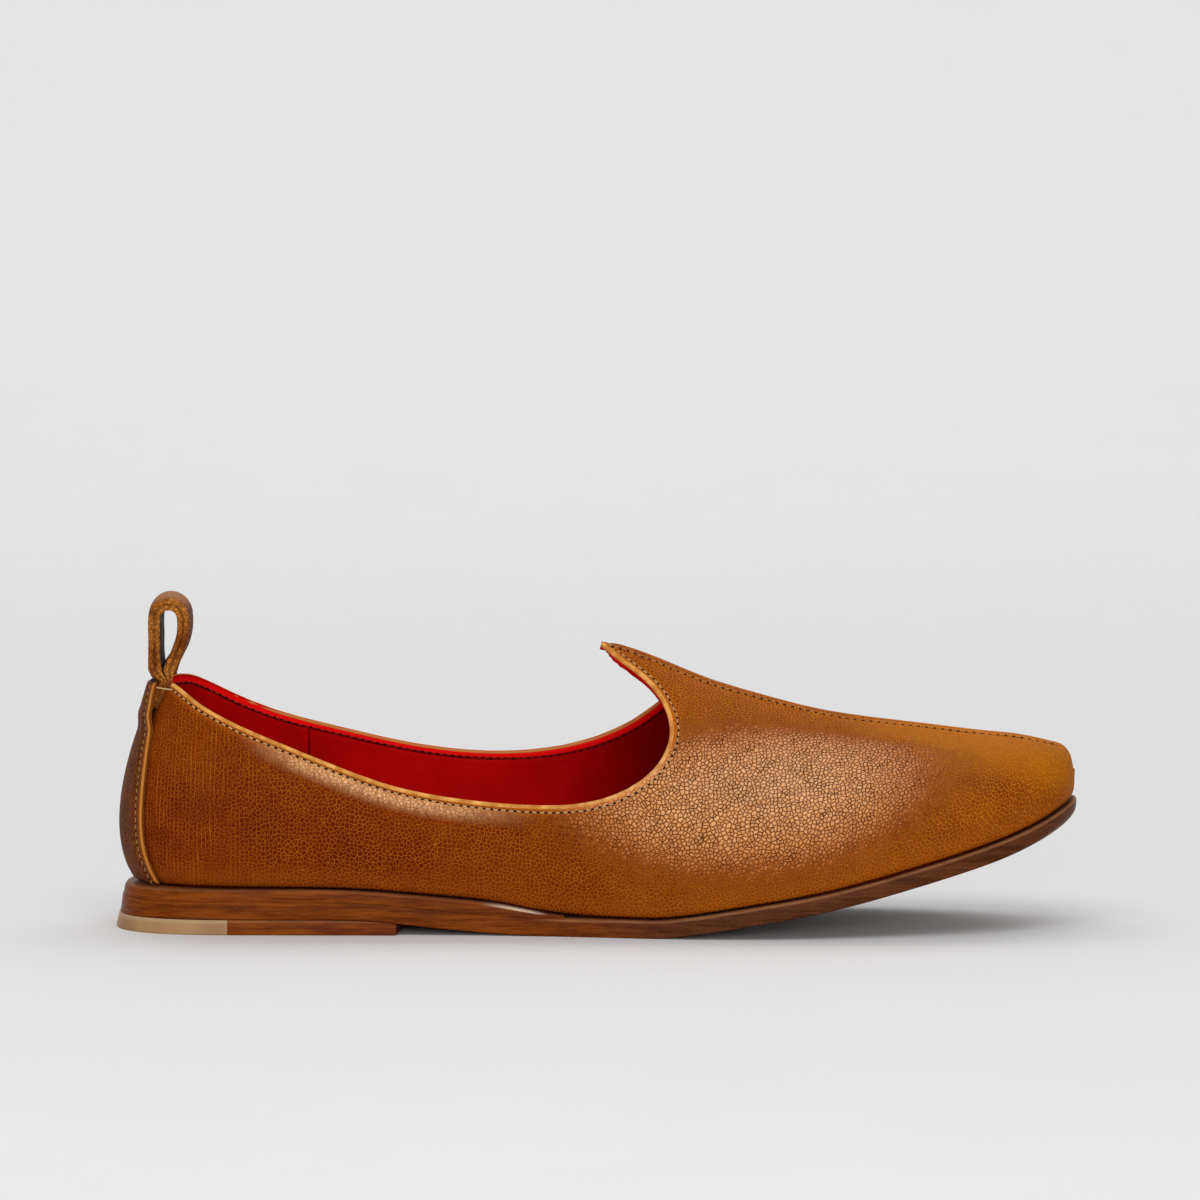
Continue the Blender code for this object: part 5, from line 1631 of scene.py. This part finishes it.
def sole_leather(name, fibre, dark, brown, fore_dark, fore_brown, top_highlight_share, bare_lit_share):
    """Dyed and waxed sole edge: redder behind, greyer ahead, with a painted highlight along
    its top corner, and on the heel seat's skived end a paler bare tone with a painted
    highlight.
    """
    made, g, shader = new_material(name, Specular_IOR_Level=0.05)
    where = g.place()
    cut = group_node(g, fibre, {"Vector": where})
    streak = g.ramp(cut["Streaks"], 0.38, 0.66)
    parts = g.parts(where)
    ahead = g.ramp(parts["X"], -0.02, 0.03)
    colour = g.blend(ahead, g.blend(streak, dark, brown),
                     g.blend(streak, fore_dark, fore_brown))
    colour = g.blend(g.times(cut["Pits"], 0.18), colour, (0.27, 0.10, 0.028))
    up = g.attribute("up_edge")
    # Painted highlight along the top corner, broken up by the streaks.
    painted_highlight = g.times(g.ramp(up, 0.80, 0.93), g.ramp(cut["Streaks"], 0.3, 0.6, 0.55, 1.0))
    painted_highlight = g.times(painted_highlight, g.maths("SUBTRACT", 1.0, g.attribute("seat_share")))
    colour = g.blend(g.times(painted_highlight, top_highlight_share), colour, (0.33, 0.14, 0.06))
    # The skived end of the heel seat: paler bare leather with a painted highlight.
    bare_lit_skive = g.times(g.ramp(parts["X"], -0.037, -0.024), g.ramp(parts["X"], -0.014, -0.021))
    bare_lit_skive = g.times(bare_lit_skive, g.ramp(up, 0.74, 0.9))
    colour = g.blend(g.times(bare_lit_skive, bare_lit_share), colour, (0.80, 0.62, 0.46))
    put(g, colour, shader.inputs["Base Color"])
    rough = g.times_plus(streak, 0.12, 0.34)
    put(g, rough, shader.inputs["Roughness"])
    put(g, bump_normal(g, cut["Height"], 0.00012, 0.7), shader.inputs["Normal"])
    return made


def heel_rubber(name):
    made, g, shader = new_material(name, Specular_IOR_Level=0.2)
    where = g.place()
    speck = g.noise(where, 1500.0, 3.0)
    cloud = g.noise(where, 90.0, 3.0)
    colour = g.blend(g.ramp(cloud, 0.3, 0.7), (0.285, 0.150, 0.064), (0.365, 0.205, 0.092))
    top = g.ramp(g.attribute("up_edge"), 0.72, 0.9)
    colour = g.blend(g.times(top, 0.5), colour, (0.46, 0.31, 0.175))
    put(g, colour, shader.inputs["Base Color"])
    put(g, g.times_plus(speck, 0.15, 0.42), shader.inputs["Roughness"])
    put(g, bump_normal(g, speck, 0.00004, 0.5), shader.inputs["Normal"])
    return made


def thread_cord(name, colour, dark):
    """Twisted thread."""
    made, g, shader = new_material(name, Specular_IOR_Level=0.3)
    where = g.place()
    twist = g.add("ShaderNodeTexWave", {"Vector": where, "Scale": 900.0, "Distortion": 1.5,
                                        "Detail": 1.0}, bands_direction="DIAGONAL")
    tone = g.blend(twist.outputs["Fac"], dark, colour)
    put(g, tone, shader.inputs["Base Color"])
    put(g, g.times_plus(twist.outputs["Fac"], -0.1, 0.72), shader.inputs["Roughness"])
    put(g, bump_normal(g, twist.outputs["Fac"], 0.00003, 0.8), shader.inputs["Normal"])
    return made


def needle_hole_shade(name, colour):
    # A near-black pit colour: painted shade in the needle hole.
    made, g, shader = new_material(name, Specular_IOR_Level=0.1)
    speck = g.noise(g.place(), 2200.0, 1.0)
    put(g, g.blend(speck, colour, tuple(v * 2.2 for v in colour)),
        shader.inputs["Base Color"])
    put(g, g.times_plus(speck, 0.1, 0.85), shader.inputs["Roughness"])
    return made


def studio_paper(name):
    made, g, shader = new_material(name, Specular_IOR_Level=0.1)
    speck = g.noise(g.place(), 14.0, 2.0)
    put(g, g.blend(speck, (0.70, 0.70, 0.70), (0.72, 0.72, 0.72)),
        shader.inputs["Base Color"])
    put(g, g.times_plus(speck, 0.05, 0.75), shader.inputs["Roughness"])
    return made


# ---- studio -------------------------------------------------------------------------
def make_studio(surface):
    """A pale floor that sweeps up into the backdrop."""
    bend = 1.9
    radius = 1.2
    profile = [(-3.2, 0.0), (-1.0, 0.0), (0.0, 0.0), (bend, 0.0)]
    for i in range(1, 13):
        angle = math.pi / 2 * i / 12
        profile.append((bend + radius * math.sin(angle), radius * (1 - math.cos(angle))))
    profile.append((bend + radius, 4.2))
    wide = 4.5
    points = [(x, y, z) for y, z in profile for x in (-wide, wide)]
    faces = [(2 * i, 2 * i + 1, 2 * i + 3, 2 * i + 2) for i in range(len(profile) - 1)]
    mesh = bpy.data.meshes.new("studio_floor")
    mesh.from_pydata(points, [], faces)
    mesh.shade_smooth()
    mesh.materials.append(surface)
    sweep = show("studio_floor", mesh)


def add_area_light(name, place, target, size, power):
    data = bpy.data.lights.new(name, "AREA")
    data.shape = "RECTANGLE"
    data.size, data.size_y = size
    data.energy = power
    made = show(name, data)
    made.location = place
    aim = Vector(target) - Vector(place)
    made.rotation_euler = aim.to_track_quat("-Z", "Y").to_euler()


def make_lights():
    shoe = (0.03, 0.0, 0.05)
    add_area_light("key_softbox", (-0.10, -0.78, 1.15), shoe, (0.9, 0.7), 5.3)
    add_area_light("front_fill", (0.10, -2.10, 0.45), shoe, (1.8, 0.5), 17.0)
    add_area_light("backdrop_panel", (0.0, 2.3, 2.8), (0.0, 2.3, 0.0), (4.4, 2.8), 68.0)
    world = bpy.data.worlds.new("studio")
    world.use_nodes = True
    sky = world.node_tree.nodes["Background"]
    sky.inputs["Color"].default_value = (1.0, 1.0, 1.0, 1.0)
    sky.inputs["Strength"].default_value = 0.54
    bpy.context.scene.world = world


def make_camera():
    """A long lens a little above the shoe, level with its outer side."""
    tilt = math.radians(CAMERA_TILT)
    away = np.array([0.0, -math.cos(tilt), math.sin(tilt)])
    data = bpy.data.cameras.new("camera")
    data.sensor_width = 36.0
    data.lens = CAMERA_LENS
    data.clip_end = 20.0
    made = show("camera", data)
    made.location = (np.array(CAMERA_AIM) - SHIFT + CAMERA_DISTANCE * away) * MM
    made.rotation_euler = (math.pi / 2 - tilt, 0.0, 0.0)
    bpy.context.scene.camera = made


# ---- putting it together ------------------------------------------------------------
def make_bar_tack(name, start, end, side, surface):
    """One long stitch from the back strip over the strap's edge to the top row."""
    path = []
    for share in np.linspace(0.0, 1.0, 9):
        point = start + (end - start) * share
        point = point + np.array([0.0, side * 0.9 * math.sin(math.pi * share), 0.0])
        path.append(point)
    path = np.array(path)
    turn = np.gradient(path, axis=0)
    turn /= np.linalg.norm(turn, axis=1, keepdims=True)
    radius = 0.24
    ring = 8
    points = []
    for place, along in zip(path, turn):
        across = np.cross(along, (0.0, 1.0, 0.0))
        across /= np.linalg.norm(across)
        third = np.cross(along, across)
        for k in range(ring):
            angle = 2 * math.pi * k / ring
            away = math.cos(angle) * across + math.sin(angle) * third
            points.append(place + radius * away)
    faces = [tuple(range(ring))[::-1], tuple(range(len(points) - ring, len(points)))]
    for i in range(len(path) - 1):
        for k in range(ring):
            following = (k + 1) % ring
            a = i * ring
            faces.append((a + k, a + following, a + ring + following, a + ring + k))
    piece = make_piece(name, points, faces, surface, 50.0)
    finish_piece(weld(piece), "tan_leather")


def main():
    make_camera()
    grain = pebbled_grain_group("pebbled grain", "3D")
    flat_grain = pebbled_grain_group("pebbled grain laid flat", "2D")
    folds = fold_lines_group()
    fibre = fibre_edge_group()
    tan = upper_leather("tan_leather", flat_grain, folds)
    strap_tan = strap_leather("strap_leather", grain)
    red = lining_leather("red_lining", grain)
    edge_brown = sole_leather("sole_edge", fibre, STACK_DARK, STACK_BROWN, (0.056, 0.014,
                                                                            0.004), (0.118,
                                                                                     0.034,
                                                                                     0.011),
                              0.6, 0.0)
    stack_brown = sole_leather("heel_stack", fibre, STACK_DARK, STACK_BROWN, STACK_DARK,
                               STACK_BROWN, 0.35, 0.8)
    rubber = heel_rubber("heel_rubber")
    cream = thread_cord("cream_thread", (0.66, 0.46, 0.24), (0.36, 0.20, 0.07))
    tan_thread = thread_cord("tan_thread", (0.44, 0.21, 0.055), (0.22, 0.085, 0.018))
    red_thread = thread_cord("red_thread", (0.20, 0.002, 0.002), (0.09, 0.001, 0.001))
    hole_shade = needle_hole_shade("needle_hole_shade", (0.010, 0.004, 0.002))
    red_hole_shade = needle_hole_shade("lining_hole_shade", (0.020, 0.0005, 0.0005))

    skin = Skin(1.0)
    outer = make_outer_leather(skin, tan)
    lining_skin = Skin(0.6)
    inner = make_lining(lining_skin, red)

    make_outsole(edge_brown)
    make_heel_seat(stack_brown)
    rubber_fronts = {LATERAL: RUBBER_FRONT, MEDIAL: RUBBER_FRONT}
    leather_fronts = {LATERAL: LIFT_BREAST_LATERAL, MEDIAL: LIFT_BREAST_MEDIAL}
    lift_layer("rubber_quarter", rubber, "heel_rubber", None, rubber_fronts, True,
               "heel_lift_rubber")
    lift_layer("lift_leather", stack_brown, "sole_leather", RUBBER_FRONT + 0.1,
               leather_fronts, False, "heel_lift_leather")
    make_insole(red)
    strip_rows = make_back_strip(strap_tan)
    loop_rows = make_pull_loop(strap_tan)

    tree = stitch_row_tree()
    ring, ring_normals = topline_ring(500)
    inside_row = inward_row(ring, ring_normals, top_row_depth(ring[:, 0]))
    clear_of_strap = np.abs(ring[:, 1]) > STRAP_HALF_WIDTH + 0.6
    clear_of_strap |= ring[:, 0] > 60.0
    top_line, top_out = settle(inside_row[clear_of_strap], outer, skin.faces, -0.02)
    stitch_row("top_stitches", tree, "top", top_line, top_out, cream, hole_shade)
    flipped = [face[::-1] for face in lining_skin.faces]
    within = inside_row - ring_normals * WALL
    line, out = settle(within, inner, flipped, 0.02)
    stitch_row("lining_stitches", tree, "lining", line, out, red_thread, red_hole_shade,
               "red_lining")
    for side, name in ((LATERAL, "near"), (MEDIAL, "far")):
        x = np.linspace(SEAM_START_X, SEAM_END_X, 240)
        line = np.column_stack([x, seam_y(x) + side * SEAM_ROW, crest.at("z", x)])
        line, out = settle(line, outer, skin.faces, -0.02)
        stitch_row(name + "_seam_stitches", tree, "seam", line, out, tan_thread, hole_shade)
    for side, name in ((LATERAL, "near"), (MEDIAL, "far")):
        line = strip_rows[side]
        out = line - (HEEL_MIDDLE_X, 0.0, 0.0)
        out[:, 2] = 0.0
        out /= np.linalg.norm(out, axis=1, keepdims=True)
        stitch_row(name + "_strip_stitches", tree, "strip", line, out, tan_thread, hole_shade)
        start = line[np.argmin(np.abs(line[:, 2] - BAR_TACK_Z))] + (1.2, side * 1.6, 0.0)
        on_side = np.where(top_line[:, 1] * side > 0)[0]
        end = top_line[on_side[np.argmin(top_line[on_side, 0])]]
        make_bar_tack(name + "_bar_tack", start, end, side, cream)
        line = loop_rows[side]
        out = np.cross((0.0, -1.0, 0.0), np.gradient(line, axis=0))
        out /= np.linalg.norm(out, axis=1, keepdims=True)
        stitch_row(name + "_loop_stitches", tree, "loop", line, out, tan_thread, hole_shade)
    make_studio(studio_paper("studio_paper"))
    make_lights()
    bpy.context.scene.view_settings.view_transform = "Standard"


main()
